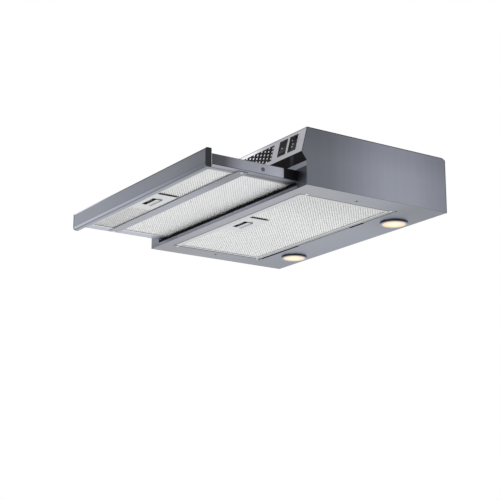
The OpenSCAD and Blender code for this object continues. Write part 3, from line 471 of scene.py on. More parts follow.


# %% [markdown]
# ## The casing's steel
# The same sheet looks different on each face, since each turns its grain to another part of the
# room, so each face gets its own colour with that light and shade painted in. The sides are the
# darkest, deep blue grey at the front and lighter past the middle; the pan under the hood is
# lighter, and the sloped panel with the vent slots is the lightest. Seams and folded edges get
# thin dark lines of painted shade.

# %% Dress the sides
SIDE_STEEL = (0.275, 0.292, 0.345)
SIDE_ALONG = [
    (-368, 0.30), (-330, 0.31), (-300, 0.34), (-250, 0.464), (-200, 0.622), (-160, 0.72),
    (-120, 0.747), (-80, 0.74), (-40, 0.66), (-10, 0.61), (0, 0.60)]
SIDE_UP = [(7, 1.04), (60, 1.0), (100, 0.84), (117, 0.82)]


def side_fields(x, y, z):
    """Painted shade: dark at the front, lightest past the middle, with dark lines at the folds."""
    top, foot = line(z, side_high.z, 3.5, 0.3), line(z, side_low.z, 2.0, 0.75)
    rear, slope = line(y, side_high.y, 4.0, 0.4), line(before_panel(y, z), 0, 2.0, 0.35)
    return ramp(y, SIDE_ALONG) * ramp(z, SIDE_UP) * (top * foot * rear) * slope


dress(steel("side_sheet", SIDE_STEEL, Z, side_fields), "side_panel_left", "side_panel_right")

# %% [markdown]
# ## The pan
# The pan is the broad sheet round the filter and the lamps. It mirrors the dim room below, so its
# shade drifts from end to end. One ramp paints that drift of reflection, masks paint soft shadows
# over it, and one line of painted shade follows the filter's outline, where the sheet is folded up
# round the opening.

# %% Dress the pan
PAN_STEEL = (0.338, 0.346, 0.384)
# The rear colour is a painted reflection: the pan's hue turns bluer towards the rear.
PAN_REAR = (0.308, 0.338, 0.410)
PAN_ALONG = [
    (-356, 1.03), (-330, 1.03), (-240, 0.975), (-180, 0.94), (-90, 0.87), (-50, 0.85), (0, 0.82)]


def pan_fields(x, y, z):
    """Painted light and shade: lighter towards the front, with broad shadows and a dark line round
    it.
    """
    middle, half = (filter_low + filter_high) / 2, (filter_high - filter_low) / 2
    past_side = abs(x) - (half.x + 0.6) * MM
    past_end = abs(y - middle.y * MM) - (half.y + 0.6) * MM
    return (
        ramp(y, PAN_ALONG)
        * patch(0.68, mask(x, 60, 260), mask(y, -170, -60))
        * patch(0.955, mask(x, 240, 275), mask(y, -300, -220))
        * patch(0.905, mask(x, 0, -230))
        * patch(0.84, mask(x, -100, -280), mask(y, -200, -330))
        * patch(0.90, mask(x, -140, -260), mask(y, -160, -60))
        * line(past_side.larger(past_end), 0, 8.0, 0.35))


pan_far = (Y, pan_low.y, pan_high.y, PAN_REAR)
dress(steel("pan_sheet", PAN_STEEL, X, pan_fields, pan_far), "bottom_pan")

# %% [markdown]
# ## The front
# The front frame is a rail and a header between two posts, with the tray's opening in it. Above
# it leans the control panel. Ramps paint the light and shade along the header and the deep shade on
# the right post. The vent slots are real openings in the solid; a rim of painted shade round each
# is drawn here, by folding the coordinates at the slots' pitch.

# %% Dress the front frame and the panel
POST_STEEL = (0.325, 0.346, 0.412)
HEADER_ACROSS = [
    (-299, 0.62), (-266, 0.62), (-255, 0.80), (-150, 0.91), (0, 1.12), (50, 1.15),
    (130, 0.95), (200, 0.56), (262, 0.53), (299, 0.6)]
POST_ACROSS = [(266, 0.02), (272, 0.045), (285, 0.075), (295, 0.085), (298.2, 0.2)]
POST_UP = [(0, 5.2), (10, 5.2), (15, 4.2), (22, 2.1), (30, 1.1), (39, 0.95)]
RAIL_H, HEADER_FOOT, POST_FROM = 9.0, 40, 265
PANEL_STEEL = (0.43, 0.43, 0.47)
PANEL_ACROSS = [
    (-298, 0.95), (-100, 0.98), (0, 1.25), (60, 2.0), (115, 2.0), (150, 1.15), (190, 0.82),
    (298, 0.79)]


def header_fields(x, y, z):
    """Painted shade: the header fades towards the right, where the post stands in deep shade."""
    rail = patch(0.88, mask(z, RAIL_H + 0.6, RAIL_H + 0.2))
    header = ramp(x, HEADER_ACROSS) * rail * line(z, 0, 5.0, 0.8)
    post = ramp(x, POST_ACROSS) * ramp(z, POST_UP)
    beside = mask(x, POST_FROM, POST_FROM + 2) * mask(z, HEADER_FOOT, HEADER_FOOT - 2)
    return (post - header) * beside + header


VENT_LOW, VENT_ROW, VENT_ROWS = 11.0, 3.95, 9
VENT_PITCH, VENT_HALF = 27.1, 193.0
SLOT_L, SLOT_H = 22.5, 3.2
SLOT_RIM_X, SLOT_RIM_U = 0.3, 0.45


def slot_rims(x, y, z):
    """Painted shade round each vent slot, which widens the dark of the openings."""
    inward, up = y / MM - panel_low.y, z / MM - panel_low.z
    along = inward * math.cos(PANEL_LEAN) + up * math.sin(PANEL_LEAN)
    row = (along - VENT_LOW) / VENT_ROW
    odd = (row / 2 + 0.25).fraction().step(0.499, 0.501)
    column = x / (VENT_PITCH * MM) + odd * 0.5
    past_end = abs((column + 0.5).fraction() - 0.5) * VENT_PITCH - SLOT_L / 2
    past_edge = abs((row + 0.5).fraction() - 0.5) * VENT_ROW - SLOT_H / 2
    near = (past_end / SLOT_RIM_X).larger(past_edge / SLOT_RIM_U).step(0.8, 1.2, 1.0, 0.0)
    field = abs(row - (VENT_ROWS - 1) / 2).step(VENT_ROWS / 2 + 0.2, VENT_ROWS / 2 - 0.2)
    return patch(0.12, near, field, mask(abs(x), VENT_HALF + 0.5, VENT_HALF))


def panel_fields(x, y, z):
    """Painted light and shade: nearly white where it mirrors the window, dark in its slots and
    edge.
    """
    walls = patch(0.04, mask(before_panel(y, z), -0.2, -0.4))
    edge = line(z, panel_high.z - 0.8, 2.4, 0.45)
    return ramp(x, PANEL_ACROSS) * edge * walls * slot_rims(x, y, z)


dress(steel("post_sheet", POST_STEEL, X, header_fields), "front_frame")
dress(steel("cover_sheet", POST_STEEL, X), "top_panel", "back_panel")
dress(steel("panel_sheet", PANEL_STEEL, X, panel_fields, streaks=0.6), "control_panel")

# %% [markdown]
# ## The tray's steel
# The front bar is a folded profile with its grain along the bar. Light and shade are painted on
# it: a bright lip on top at the left, a face that darkens towards the right, and a lighter strip
# along its foot. The tray's sides are the same sheet, painted dark behind the bar and lighter
# towards the casing.

# %% Dress the bar
BAR_STEEL = (0.245, 0.262, 0.305)
BAR_FACE = [
    (-270, 1.15), (-250, 1.146), (-150, 1.08), (0, 0.89), (150, 0.74), (255, 0.53), (270, 0.52)]
BAR_TOP = [(-270, 3.2), (-180, 2.2), (-120, 1.0), (-60, 0.45), (0, 0.3), (270, 0.28)]
# The dark band is painted shade along the face.
BAR_DARK_BAND = [(-270, 0.85), (270, 0.72)]
BAR_STRIP = [(-270, 1.7), (0, 1.7), (150, 1.25), (270, 1.05)]
BAR_FOOT = [(-270, 0.6), (150, 0.9), (270, 1.0)]
BAR_UNDER = [(-270, 1.15), (270, 1.78)]


def bar_fields(x, y, z):
    """Painted light and shade on the face, its lip, a dark band, its strip and its underside."""
    return (
        ramp(x, BAR_FACE)
        * patch(ramp(x, BAR_TOP), mask(z, 39.5, 39.9))
        * patch(ramp(x, BAR_DARK_BAND), between(z, 12.8, 14.5))
        * patch(ramp(x, BAR_STRIP), between(z, 8.2, 12.6))
        * patch(ramp(x, BAR_FOOT), between(z, 7.0, 8.0))
        * patch(ramp(x, BAR_UNDER), mask(z, 6.9, 6.7)))


dress(steel("bar_sheet", BAR_STEEL, X, bar_fields), "tray_front_bar")

# %% Dress the tray
TRAY_STEEL = (0.352, 0.366, 0.425)
PLATE_ALONG = [
    (-548, 0.11), (-520, 0.137), (-500, 0.34), (-480, 0.485), (-460, 0.515), (-430, 0.57),
    (-400, 0.725), (-388, 0.7), (-380, 0.35), (-240, 0.3)]
FLANGE_ALONG = [(-548, 0.72), (-510, 0.74), (-440, 0.45), (-370, 0.54), (-355, 0.6), (-240, 0.4)]
CROSS_STEEL = (0.36, 0.375, 0.43)
CROSS_ACROSS = [(-240, 0.98), (0, 1.02), (100, 0.92), (200, 0.63), (240, 0.62)]
RAIL_STEEL = (0.312, 0.326, 0.382)
PLATE_TOP, PLATE_FOOT = 36.5, 15.6


def right_tray_fields(x, y, z):
    """Painted shade: an upright plate with a dark top edge, on a flange with a line along it."""
    plate = ramp(y, PLATE_ALONG) * line(z, PLATE_TOP, 1.6, 0.5) * line(z, PLATE_FOOT, 3.0, 0.45)
    # The flange's dark line and light band are painted shade and light.
    folded = line(x, 250.5, 4.5, 0.5)
    flange = ramp(y, FLANGE_ALONG) * folded * patch(1.22, between(x, 253, 263, 1.5))
    return (flange - plate) * mask(z, PLATE_FOOT, PLATE_FOOT - 0.2) + plate


def left_tray_fields(x, y, z):
    """Painted light: the left flange faces the bright side of the room."""
    plate = ramp(y, PLATE_ALONG)
    flange = 1.5 * (line(x, -262, 3.5, 0.62) * line(x, -251, 3.0, 0.72))
    return (flange - plate) * mask(z, PLATE_FOOT, PLATE_FOOT - 0.2) + plate


def cross_fields(x, y, z):
    """Painted shade: the bars across the tray darken towards the right."""
    return ramp(x, CROSS_ACROSS)


dress(steel("tray_right_sheet", TRAY_STEEL, Y, right_tray_fields, streaks=0.6), "tray_side_right")
dress(steel("tray_left_sheet", TRAY_STEEL, Y, left_tray_fields, streaks=0.6), "tray_side_left")
dress(steel("cross_sheet", CROSS_STEEL, X, cross_fields), "tray_cross_bar", "tray_rear_bar")
dress(steel("rail_sheet", RAIL_STEEL, X), "tray_front_rail")

# %% [markdown]
# ## Black parts
# The soffit under the nose is painted, with the faint orange peel that powder paint has, and a
# pale streak on it is a painted reflection of the sheet beside it. The switches, the bar's end caps
# and the runners are moulded, with a fine even grain from the mould. Noise gives both grains, at
# two sizes.


# %% Paint and plastic
PEEL_GRAINS = 420.0
PEEL_DEPTH = 0.0001
MOULD_GRAINS = 1400.0
MOULD_CLOUDS = 40.0
MOULD_DEPTH = 0.00005


def paint(name, colour, rough, gloss, fields):
    """Powder paint: a faint orange peel under the fields of shade."""
    finish = Finish(name, gloss)
    peel = finish.noise(PEEL_GRAINS, 1.0)
    shade = peel.step(0.2, 0.8, 0.85, 1.15) * fields(*finish.xyz())
    return finish.coat(colour, shade, rough, finish.bump(peel, 0.2, PEEL_DEPTH))


def plastic(name, colour, rough, gloss):
    """Moulded plastic: a fine grain that also changes its roughness."""
    finish = Finish(name, gloss)
    fine = finish.noise(MOULD_GRAINS, 2.0)
    broad = finish.noise(MOULD_CLOUDS, 1.0)
    normal = finish.bump(fine, 0.25, MOULD_DEPTH)
    return finish.coat(colour, 1.0 + (broad - 0.5) * 0.25, rough + (fine - 0.5) * 0.2, normal)


# %% Dress the black parts
SOFFIT_LOW = drawn("soffit")[0].z
# The soffit's pale streak is a painted reflection that leans with the slope.
REFLECTION_LEAN = 1.06


def soffit_fields(x, y, z):
    """A painted reflection: a soft leaning pale streak near the right end."""
    leaning = x - (z - SOFFIT_LOW * MM) * REFLECTION_LEAN
    return patch(5.0, mask(leaning, 240, 248), mask(leaning, 259, 249))


dress(paint("soffit_paint", (0.008, 0.008, 0.010), 0.5, 0.06, soffit_fields), "soffit")
for name, colour, rough, gloss, *solids in (
        ("switch_plastic", (0.008, 0.008, 0.009), 0.45, 0.1,
         "fan_switch_housing", "light_switch_housing"),
        ("rocker_plastic", (0.007, 0.007, 0.008), 0.4, 0.08, "fan_rocker", "light_rocker"),
        ("cap_plastic", (0.018, 0.020, 0.024), 0.45, 0.15, "bar_cap_left", "bar_cap_right"),
        ("runner_nylon", (0.005, 0.005, 0.007), 0.5, 0.08, "tray_runner_left", "tray_runner_right"),
        ("duct_plastic", (0.006, 0.006, 0.007), 0.6, 0.1,
         "recirculation_duct", "blower_scroll", "blower_cover", "outlet_plenum", "impeller"),
        ("collar_plastic", (0.05, 0.05, 0.055), 0.45, 0.5,
         "duct_collar", "collar_flange", "cable_gland"),
        ("pale_plastic", (0.72, 0.72, 0.69), 0.45, 0.5,
         "lamp_driver", "terminal_box", "terminal_cover", "motor_capacitor")):
    dress(plastic(name, colour, rough, gloss), *solids)

# %% [markdown]
# ## The shadow strip under the front frame
# Where the tray slides in, the casing is deep in shade above the front frame's foot, and a thin
# black strip stands there to paint that shadow. Its top edge steps down where the tray's latch and
# screws pass over it. It is drawn as one outline and pushed out to its thickness, as it would be
# cut from a sheet.


# %% Push out an outline
def prism(ring, rise):
    """Points and faces of a solid between a ring of points and the same ring shifted by rise."""
    count = len(ring)
    points = [Vector(p) for p in ring]
    points += [p + rise for p in points]
    faces = [list(range(count))[::-1], list(range(count, 2 * count))]
    faces += [[k, (k + 1) % count, count + (k + 1) % count, count + k] for k in range(count)]
    return points, faces


# A thin black strip at the frame's foot that paints the shadow inside the tray's slot.
SHADOW_STRIP_T = 0.8
SHADOW_STRIP_Y = -356.85
SHADOW_STRIP_FOOT = 7.4
SHADOW_STRIP_STEPS = (
    (-264, 11.9), (-250, 13.1), (-230, 11.6), (-210, 13.1), (-42, 12.0), (20, 13.1),
    (210, 11.6), (230, 13.1), (250, 11.9), (264, 11.9))
SHADOW_STRIP_OUTLINE = [(-264, SHADOW_STRIP_FOOT)] + [
    corner for (x, z), (end, _) in zip(SHADOW_STRIP_STEPS, SHADOW_STRIP_STEPS[1:]) for corner in ((x, z), (end, z))]
SHADOW_STRIP_OUTLINE.append((264, SHADOW_STRIP_FOOT))
# Near-black matt plastic that paints shadow, here and in the latch pockets.
shadow_black = plastic("shadow_black", (0.004, 0.004, 0.005), 0.7, 0.04)
ring = [Vector((x, SHADOW_STRIP_Y, z)) * MM for x, z in SHADOW_STRIP_OUTLINE]
strip = prism(ring, Vector((0, SHADOW_STRIP_T * MM, 0)))
make_piece("front_shadow_strip", *strip, "casing", "duct_plastic", shadow_black)


# %% [markdown]
# ## Plain metals
# Inside the hood are galvanised guides, whose zinc shows large pale crystals, and a die cast motor.
# Crystals have straight borders, so cells from a Voronoi texture fit them better than noise.


# %% Zinc, castings and plating
CRYSTALS = 160.0
CAST_DEPTH = 0.00006


def zinc(name, colour):
    """Galvanised sheet with its crystals."""
    finish = Finish(name, metallic=0.9)
    sized = finish.scaled(finish.place(), CRYSTALS)
    cells = finish.node("ShaderNodeTexVoronoi", {}, {"Vector": sized, "Scale": 1.0}, out=1)
    shade = finish.node("ShaderNodeSeparateColor", {}, {"Color": cells})
    return finish.coat(colour, shade.step(0.0, 1.0, 0.8, 1.15), shade.step(0.0, 1.0, 0.35, 0.55))


def cast_metal(name, colour, rough=0.5, metallic=0.85, grain=700.0):
    """Cast or plated metal with a fine grain."""
    finish = Finish(name, metallic=metallic)
    fine = finish.noise(grain, 3.0)
    normal = finish.bump(fine, 0.2, CAST_DEPTH)
    return finish.coat(colour, fine.step(0.2, 0.8, 0.88, 1.1), rough + (fine - 0.5) * 0.15, normal)


dress(zinc("guide_zinc", (0.30, 0.31, 0.33)), "guide_left", "guide_right")
dress(
    cast_metal("motor_casting", (0.5, 0.51, 0.53)),
    "blower_motor", "lamp_module_left", "lamp_module_right")
dress(
    cast_metal("damper_sheet", (0.6, 0.61, 0.63), 0.35),
    "damper_front", "damper_rear", "damper_rod")

# %% [markdown]
# ## Aluminium frames
# Each filter is held in a folded frame of plain aluminium, which is pale, with a soft lengthwise
# shimmer from the rolling mill. The latch plate and its slider are cut from the same sheet.

# %% Dress the filter frames
FRAME_ALUMINIUM = (0.61, 0.62, 0.64)
LATCH_ALUMINIUM = (0.69, 0.70, 0.72)
LATCH_MILL = {"streaks": 0.3, "metallic": 0.6}
PLATE_EDGE = drawn("main_latch_plate")[1].x - 1.2


def frame_fields(x, y, z):
    """Painted light on the left lips, and a painted shade line inside the main filter's rear lip.
    """
    rear_edge = patch(line(y, filter_high.y - 4.4, 4.5, 0.35), mask(z, 10, 9.5))
    return patch(1.5, mask(x, -234, -236)) * line(x, -238.8, 2.4, 0.62) * rear_edge


def latch_fields(x, y, z):
    """Painted shade at the plate's right end, where it drops to the mesh."""
    return patch(0.12, mask(x, PLATE_EDGE - 0.3, PLATE_EDGE + 0.3))


frame_finish = steel(
    "frame_aluminium", FRAME_ALUMINIUM, X, frame_fields, streaks=0.4, metallic=0.7, rough=0.34)
dress(frame_finish, "main_filter_frame", "front_filter_frame", "rear_filter_frame")
latch_finish = steel("latch_aluminium", LATCH_ALUMINIUM, X, latch_fields, **LATCH_MILL)
dress(latch_finish, "main_latch_plate", "front_latch_plate")

# %% [markdown]
# ## Latches and their pockets
# A finger pushes the latch's leaf back through a window in the plate. Above the window lies a
# pocket, deep in shade, so the leaf's bright bar stands out. A thin black sheet at the pocket's top
# paints that shadow, and the shade on the leaf is painted by a mask at the plate's level.

# %% Dress the sliders and shade the pockets
# The pocket's shadow is painted by a thin black sheet at its top, and on the leaf by a mask.
SHADOW_SHEET_RIM = 2.6
SHADOW_SHEET_RISE = (4.05, 4.35)
SLIDER_DARK_RISE = 0.4
LEAF_HALF, LEAF_END = 23.0, 29.0
LEAF_RIM_X, LEAF_RIM_Y = 1.8, 4.2


def slider_finish(name, plate):
    """Bright below the plate, with painted shade on its far edges and above it in the pocket."""
    low, high = drawn(plate)
    level = low.z + SLIDER_DARK_RISE
    rear = low.y + LEAF_END - LEAF_RIM_Y
    right = (low.x + high.x) / 2 + LEAF_HALF - LEAF_RIM_X

    def fields(x, y, z):
        """Painted shade where the far edges turn away from the light."""
        rim = mask(y, rear - 0.2, rear + 0.2).larger(mask(x, right - 0.2, right + 0.2))
        return patch(0.36, rim) * patch(0.06, mask(z, level - 0.2, level + 0.2))

    return steel(name, LATCH_ALUMINIUM, X, fields, **LATCH_MILL)


def shade_pocket(name, plate, body):
    """A thin black sheet at the pocket's top that paints its shadow."""
    low, high = drawn(plate)
    foot, head = (low.z + rise for rise in SHADOW_SHEET_RISE)
    outline = oblong(low.x + SHADOW_SHEET_RIM, low.y + SHADOW_SHEET_RIM, high.x - SHADOW_SHEET_RIM, high.y - SHADOW_SHEET_RIM)
    ring = [Vector((x, y, foot)) * MM for x, y in outline]
    sheet = prism(ring, Vector((0, 0, (head - foot) * MM)))
    make_piece(name, *sheet, body, "duct_plastic", shadow_black)


dress(slider_finish("main_slider_aluminium", "main_latch_plate"), "main_latch_slider")
dress(slider_finish("front_slider_aluminium", "front_latch_plate"), "front_latch_slider")
shade_pocket("main_pocket_shadow", "main_latch_plate", "main_filter")
shade_pocket("front_pocket_shadow", "front_latch_plate", "tray")

# %% [markdown]
# ## Lamp trims
# Each lamp sits in a turned ring that stands a little below the pan. Painted light and shade make
# it bright at its inner lip and nearly black down its outer wall. The distance from the lamp's axis
# goes through one ramp.

# %% Dress the lamp trims
TRIM_METAL = (0.33, 0.345, 0.39)
LAMP_X, LAMP_Y = 180.0, -41.5
TRIM_ACROSS = [(23.9, 1.6), (25.0, 1.5), (25.5, 0.95), (28.7, 0.95), (29.0, 0.12), (29.7, 0.12)]


def trim_fields(x, y, z):
    """Painted light at the inner lip and painted shade, nearly black, down the outer wall."""
    return ramp(x.finish.radius(abs(x) - LAMP_X * MM, y - LAMP_Y * MM), TRIM_ACROSS)


trim_finish = steel("lamp_trim_metal", TRIM_METAL, X, trim_fields, streaks=0.4, rough=0.3)
dress(trim_finish, "lamp_trim_left", "lamp_trim_right")

# %% [markdown]
# ## Expanded metal
# A grease filter is a pack of expanded aluminium: sheet that is slit and pulled until the slits
# open to diamonds. At this size the diamonds make the fine stripes of the photograph. A texture
# would shimmer but stay flat, so the layer that shows is real mesh: one diamond tile, whose strands
# are thick in the middle and thin at the opening, repeated over the frame's opening.

# %% Choose the diamonds
LONG_WAY = 7.6 * MM
MAIN_SHORT_WAY = 6.4 * MM
TRAY_SHORT_WAY = 5.4 * MM
OPENING_SHARE = 0.62
STRAND_T = 0.5 * MM
STRAND_TILT = 0.22 * MM
LIP_T = 0.8 * MM
CORNERS = ((1, 0), (0, 1), (-1, 0), (0, -1))
for way in (LONG_WAY, MAIN_SHORT_WAY, TRAY_SHORT_WAY):
    print("diamond", round(way / MM, 1), "mm")


# %% Weave a layer
def diamond_layer(low, high, z, short_way, keep):
    """Points and faces of an expanded sheet between two corners, at height z."""
    columns = int((high[0] - low[0]) / (LONG_WAY / 2))
    rows = int((high[1] - low[1]) / (short_way / 2))
    start_x = (low[0] + high[0] - columns * LONG_WAY / 2) / 2
    start_y = (low[1] + high[1] - rows * short_way / 2) / 2
    points, faces, shared = [], [], {}

    def place(i, j):
        """Where column i crosses row j."""
        return start_x + i * LONG_WAY / 2, start_y + j * short_way / 2

    def bond(i, j, side):
        """The point where strands meet, made once for each side of the sheet."""
        key = (i, j, side)
        if key not in shared:
            shared[key] = len(points)
            points.append((*place(i, j), z + side * STRAND_T / 2))
        return shared[key]

    for i in range(1, columns):
        for j in range(1, rows):
            x, y = place(i, j)
            if (i + j) % 2 or not keep(x, y):
                continue
            inner = len(points)
            for cx, cy in CORNERS:
                points.append((
                    x + cx * OPENING_SHARE * LONG_WAY / 2,
                    y + cy * OPENING_SHARE * short_way / 2,
                    z - cy * STRAND_TILT))
            for k, (cx, cy) in enumerate(CORNERS):
                nx, ny = CORNERS[(k + 1) % 4]
                for side in (-1, 1):
                    quad = [bond(i + cx, j + cy, side), bond(i + nx, j + ny, side)]
                    quad += [inner + (k + 1) % 4, inner + k]
                    faces.append(quad if side > 0 else quad[::-1])
    return points, faces


# %% [markdown]
# ## The pack behind the diamonds
# Behind the first layer lie more layers, which no one can tell apart. One thin closed slab stands
# for them, patterned with the same diamonds by folding the coordinates along both diagonals, with
# painted shade where openings line up. Beside each latch plate lies a short open joint, painted
# nearly black as shade.


# %% Pattern the pack
PACK_ALUMINIUM = (0.97, 0.975, 0.985)
STRAND_ALUMINIUM = (1.0, 1.0, 1.0)
MESH_METALLIC = 0.5
OPENING_SHADE = 0.82
MAIN_ACROSS = [(-240, 1.0), (60, 1.0), (190, 0.9), (240, 0.87)]
FRONT_ACROSS = [(-240, 0.75), (-150, 0.79), (150, 0.97), (240, 0.97)]
MESH_CLOUDS = 24.0
MESH_RELIEF = 0.0004
STRAND_GRAINS = 300.0
PLATE_JOINT = (43.5, 50)
JOINT_SHADE = 0.03


def mesh_fields(x, y, short_way):
    """Painted shade: the right end lies further from the light, as does the front filter's left."""
    across = patch(ramp(x, MAIN_ACROSS), mask(y, -335, -325))
    front = patch(ramp(x, FRONT_ACROSS), mask(y, -474, -478))
    # Painted shade in the gaps between the strands of one diagonal.
    gap_shade = abs((x / LONG_WAY + y / short_way).fraction() - 0.5).step(0.0, 0.3, 0.84, 1.0)
    return across * front * gap_shade


def expanded_metal(name, short_way):
    """Aluminium with the diamonds of the expanded sheet drawn on it, and painted shade in its gaps.
    """
    finish = Finish(name, metallic=MESH_METALLIC)
    x, y, z = finish.xyz()
    falling = abs((x / LONG_WAY + y / short_way).fraction() - 0.5)
    rising = abs((x / LONG_WAY - y / short_way).fraction() - 0.5)
    strand = falling.larger(rising).step(0.28, 0.36)
    broad = finish.noise(MESH_CLOUDS, 1.0)
    shade = strand.step(0.0, 1.0, OPENING_SHADE, 1.0) * (1.0 + (broad - 0.5) * 0.1)
    joint = between(x, *PLATE_JOINT)
    beside_main = patch(
        JOINT_SHADE, joint, mask(y, -269, -270.5), mask(y, -320, -318), mask(z, 3.4, 3.0))
    beside_front = patch(JOINT_SHADE, joint, mask(y, -490.5, -491.5), between(z, 16.0, 17.6))
    shade = shade * mesh_fields(x, y, short_way) * beside_main * beside_front
    normal = finish.bump(strand, 0.5, MESH_RELIEF)
    return finish.coat(PACK_ALUMINIUM, shade, 0.55 - strand * 0.15, normal)


def bright_strands(name, short_way):
    """The strands of the layer that shows, under the same painted shade."""
    finish = Finish(name, metallic=MESH_METALLIC)
    fine = finish.noise(STRAND_GRAINS, 1.0)
    x, y, _ = finish.xyz()
    shade = fine.step(0.25, 0.75, 0.95, 1.05) * mesh_fields(x, y, short_way)
    return finish.coat(STRAND_ALUMINIUM, shade, 0.36 + (fine - 0.5) * 0.1)


pack_finishes, strand_finishes = {}, {}
for part, way in (("main", MAIN_SHORT_WAY), ("tray", TRAY_SHORT_WAY)):
    pack_finishes[way] = expanded_metal(part + "_pack_aluminium", way)
    strand_finishes[way] = bright_strands(part + "_strand_aluminium", way)
    print("patterned the", part, "pack")

# %% [markdown]
# ## Filling the frames
# Each frame gets its layer of diamonds just inside the lip and the slab above it. The latch plate
# hides the diamonds over it, so they stop at its edge, as they do on the real filter.

# %% Fill the frames
PACK_RISE = 1.5 * MM
PACK_COVER = 0.8 * MM
FRAME_WALL = 0.8 * MM
CORNER_CUT = 6.0 * MM
POCKET_H = 3.6 * MM
POCKET_RIM = 2.0 * MM
PLATE_GAP = 6.0 * MM
LIP_SIDE = 4.5 * MM


def slab(low, high, notch=None):
    """A closed slab. notch is the pocket's (left, right, rear, top), cut in from below."""
    xs, ys = [low.x, high.x], [low.y, high.y]
    if notch:
        left, right, rear, top = notch
        xs, ys = [low.x, left, right, high.x], [low.y, rear, high.y]
    levels = {}
    for i in range(len(xs) - 1):
        for j in range(len(ys) - 1):
            levels[i, j] = top if notch and (i, j) == (1, 0) else low.z
    points, faces = [], []
    for (i, j), z in levels.items():
        base = len(points)
        cell = oblong(xs[i], ys[j], xs[i + 1], ys[j + 1])
        points += [(x, y, z) for x, y in cell] + [(x, y, high.z) for x, y in cell]
        faces += [[base + 3, base + 2, base + 1, base], [base + 4, base + 5, base + 6, base + 7]]
        near = [(i, j - 1), (i + 1, j), (i, j + 1), (i - 1, j)]
        for k, other in enumerate(near):
            above = levels.get(other, high.z)
            if above > z:
                a, b = cell[k], cell[(k + 1) % 4]
                wall = len(points)
                points += [(*a, z), (*b, z), (*b, above), (*a, above)]
                faces.append([wall, wall + 1, wall + 2, wall + 3])
    return points, faces


def fill_filter(name, body, short_way, plate=None):
    """The diamonds and the slab of one filter, in place of its plain mesh pack."""
    low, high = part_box(name + "_frame")
    inside_low = low + Vector((FRAME_WALL, FRAME_WALL, LIP_T + PACK_RISE))
    inside_high = high - Vector((FRAME_WALL, FRAME_WALL, PACK_COVER))
    plate_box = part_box(plate) if plate else None

    def keep(x, y):
        """False over the latch plate and past the round corners."""
        if plate_box and plate_box[0].x < x < plate_box[1].x + PLATE_GAP and y < plate_box[1].y:
            return False
        dx = max(abs(x) - (high.x - LIP_SIDE), 0)
        dy = max(low.y + LIP_SIDE - y, y - (high.y - LIP_SIDE), 0)
        return math.hypot(dx, dy) < CORNER_CUT

    border = Vector((LIP_SIDE / 2, LIP_SIDE / 2, 0))
    level = low.z + LIP_T
    layer = diamond_layer(low + border, high - border, level + STRAND_T, short_way, keep)
    make_piece(name + "_diamonds", *layer, body, "mesh_aluminium", strand_finishes[short_way])
    notch = None
    if plate:
        (left, _, _), (right, rear, _) = plate_box
        notch = left + POCKET_RIM, right - POCKET_RIM, rear - POCKET_RIM, level + POCKET_H
    layers = slab(inside_low, inside_high, notch)
    pack = make_piece(name + "_pack", *layers, body, "mesh_aluminium", pack_finishes[short_way])
    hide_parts(name + "_mesh")


fill_filter("main_filter", "main_filter", MAIN_SHORT_WAY, "main_latch_plate")
fill_filter("front_filter", "tray", TRAY_SHORT_WAY, "front_latch_plate")
fill_filter("rear_filter", "tray", TRAY_SHORT_WAY)


# %% [markdown]
# ## Screws
# The screws that show have low round heads with a cross recess. A head is a profile turned round
# its axis, and the recess is cut out of it with a boolean, as a punch would press it in.


# %% Turn a screw head
HEAD_SEGMENTS = 32
DOME_STEPS = 5
DOME_FOOT = 0.35
RECESS_FOOT = 0.45
RECESS_ARM, RECESS_WIDTH = 0.62, 0.2


def spoke(radius, k, count):
    """One of count points round a circle."""
    a = 2 * math.pi * k / count
    return radius * math.cos(a), radius * math.sin(a)


def turned(profile, segments=HEAD_SEGMENTS):
    """Points and faces of a profile of (radius, height) turned round Z and closed at both ends."""
    points = [(0, 0, profile[0][1])]
    for r, z in profile:
        points += [(*spoke(r, k, segments), z) for k in range(segments)]
    points.append((0, 0, profile[-1][1]))
    faces = []
    for k in range(segments):
        n = (k + 1) % segments
        faces.append([0, 1 + n, 1 + k])
        for ring in range(len(profile) - 1):
            a, b = 1 + ring * segments, 1 + (ring + 1) * segments
            faces.append([a + n, b + n, b + k, a + k])
        last = 1 + (len(profile) - 1) * segments
        faces.append([last + k, last + n, len(points) - 1])
    return points, faces


def screw_head(radius, height):
    """One head with its recess, as points and faces about its seat, domed towards +Z."""
    dome = [(radius, 0.0), (radius, height * DOME_FOOT)]
    for k in range(1, DOME_STEPS + 1):
        across, up = spoke(1 - DOME_FOOT, k, 4 * DOME_STEPS)
        dome.append((radius * (DOME_FOOT + across), height * (DOME_FOOT + up)))
    head = mesh_object("head_tool", *turned(dome))
    arm, width = radius * RECESS_ARM, radius * RECESS_WIDTH
    tools = [head]
    for a, b in ((arm, width), (width, arm)):
        ring = [(x, y, height * RECESS_FOOT) for x, y in oblong(-a, -b, a, b)]
        cutter = mesh_object("cross_tool", *prism(ring, Vector((0, 0, 2 * height))))
        cut = head.modifiers.new("recess", "BOOLEAN")
        cut.operation = "DIFFERENCE"
        cut.solver = "EXACT"
        cut.object = cutter
        tools.append(cutter)
    shape = head.evaluated_get(bpy.context.evaluated_depsgraph_get()).to_mesh()
    points = [v.co.copy() for v in shape.vertices]
    faces = [list(f.vertices) for f in shape.polygons]
    for tool in tools:
        bpy.data.objects.remove(tool)
    return points, faces


# %% [markdown]
# ## Where the screws sit
# Each screw in the CAD model is a solid of its own. Its points are gathered by nearness, and the
# middle of each heap is where a head belongs, so no place is written down twice.


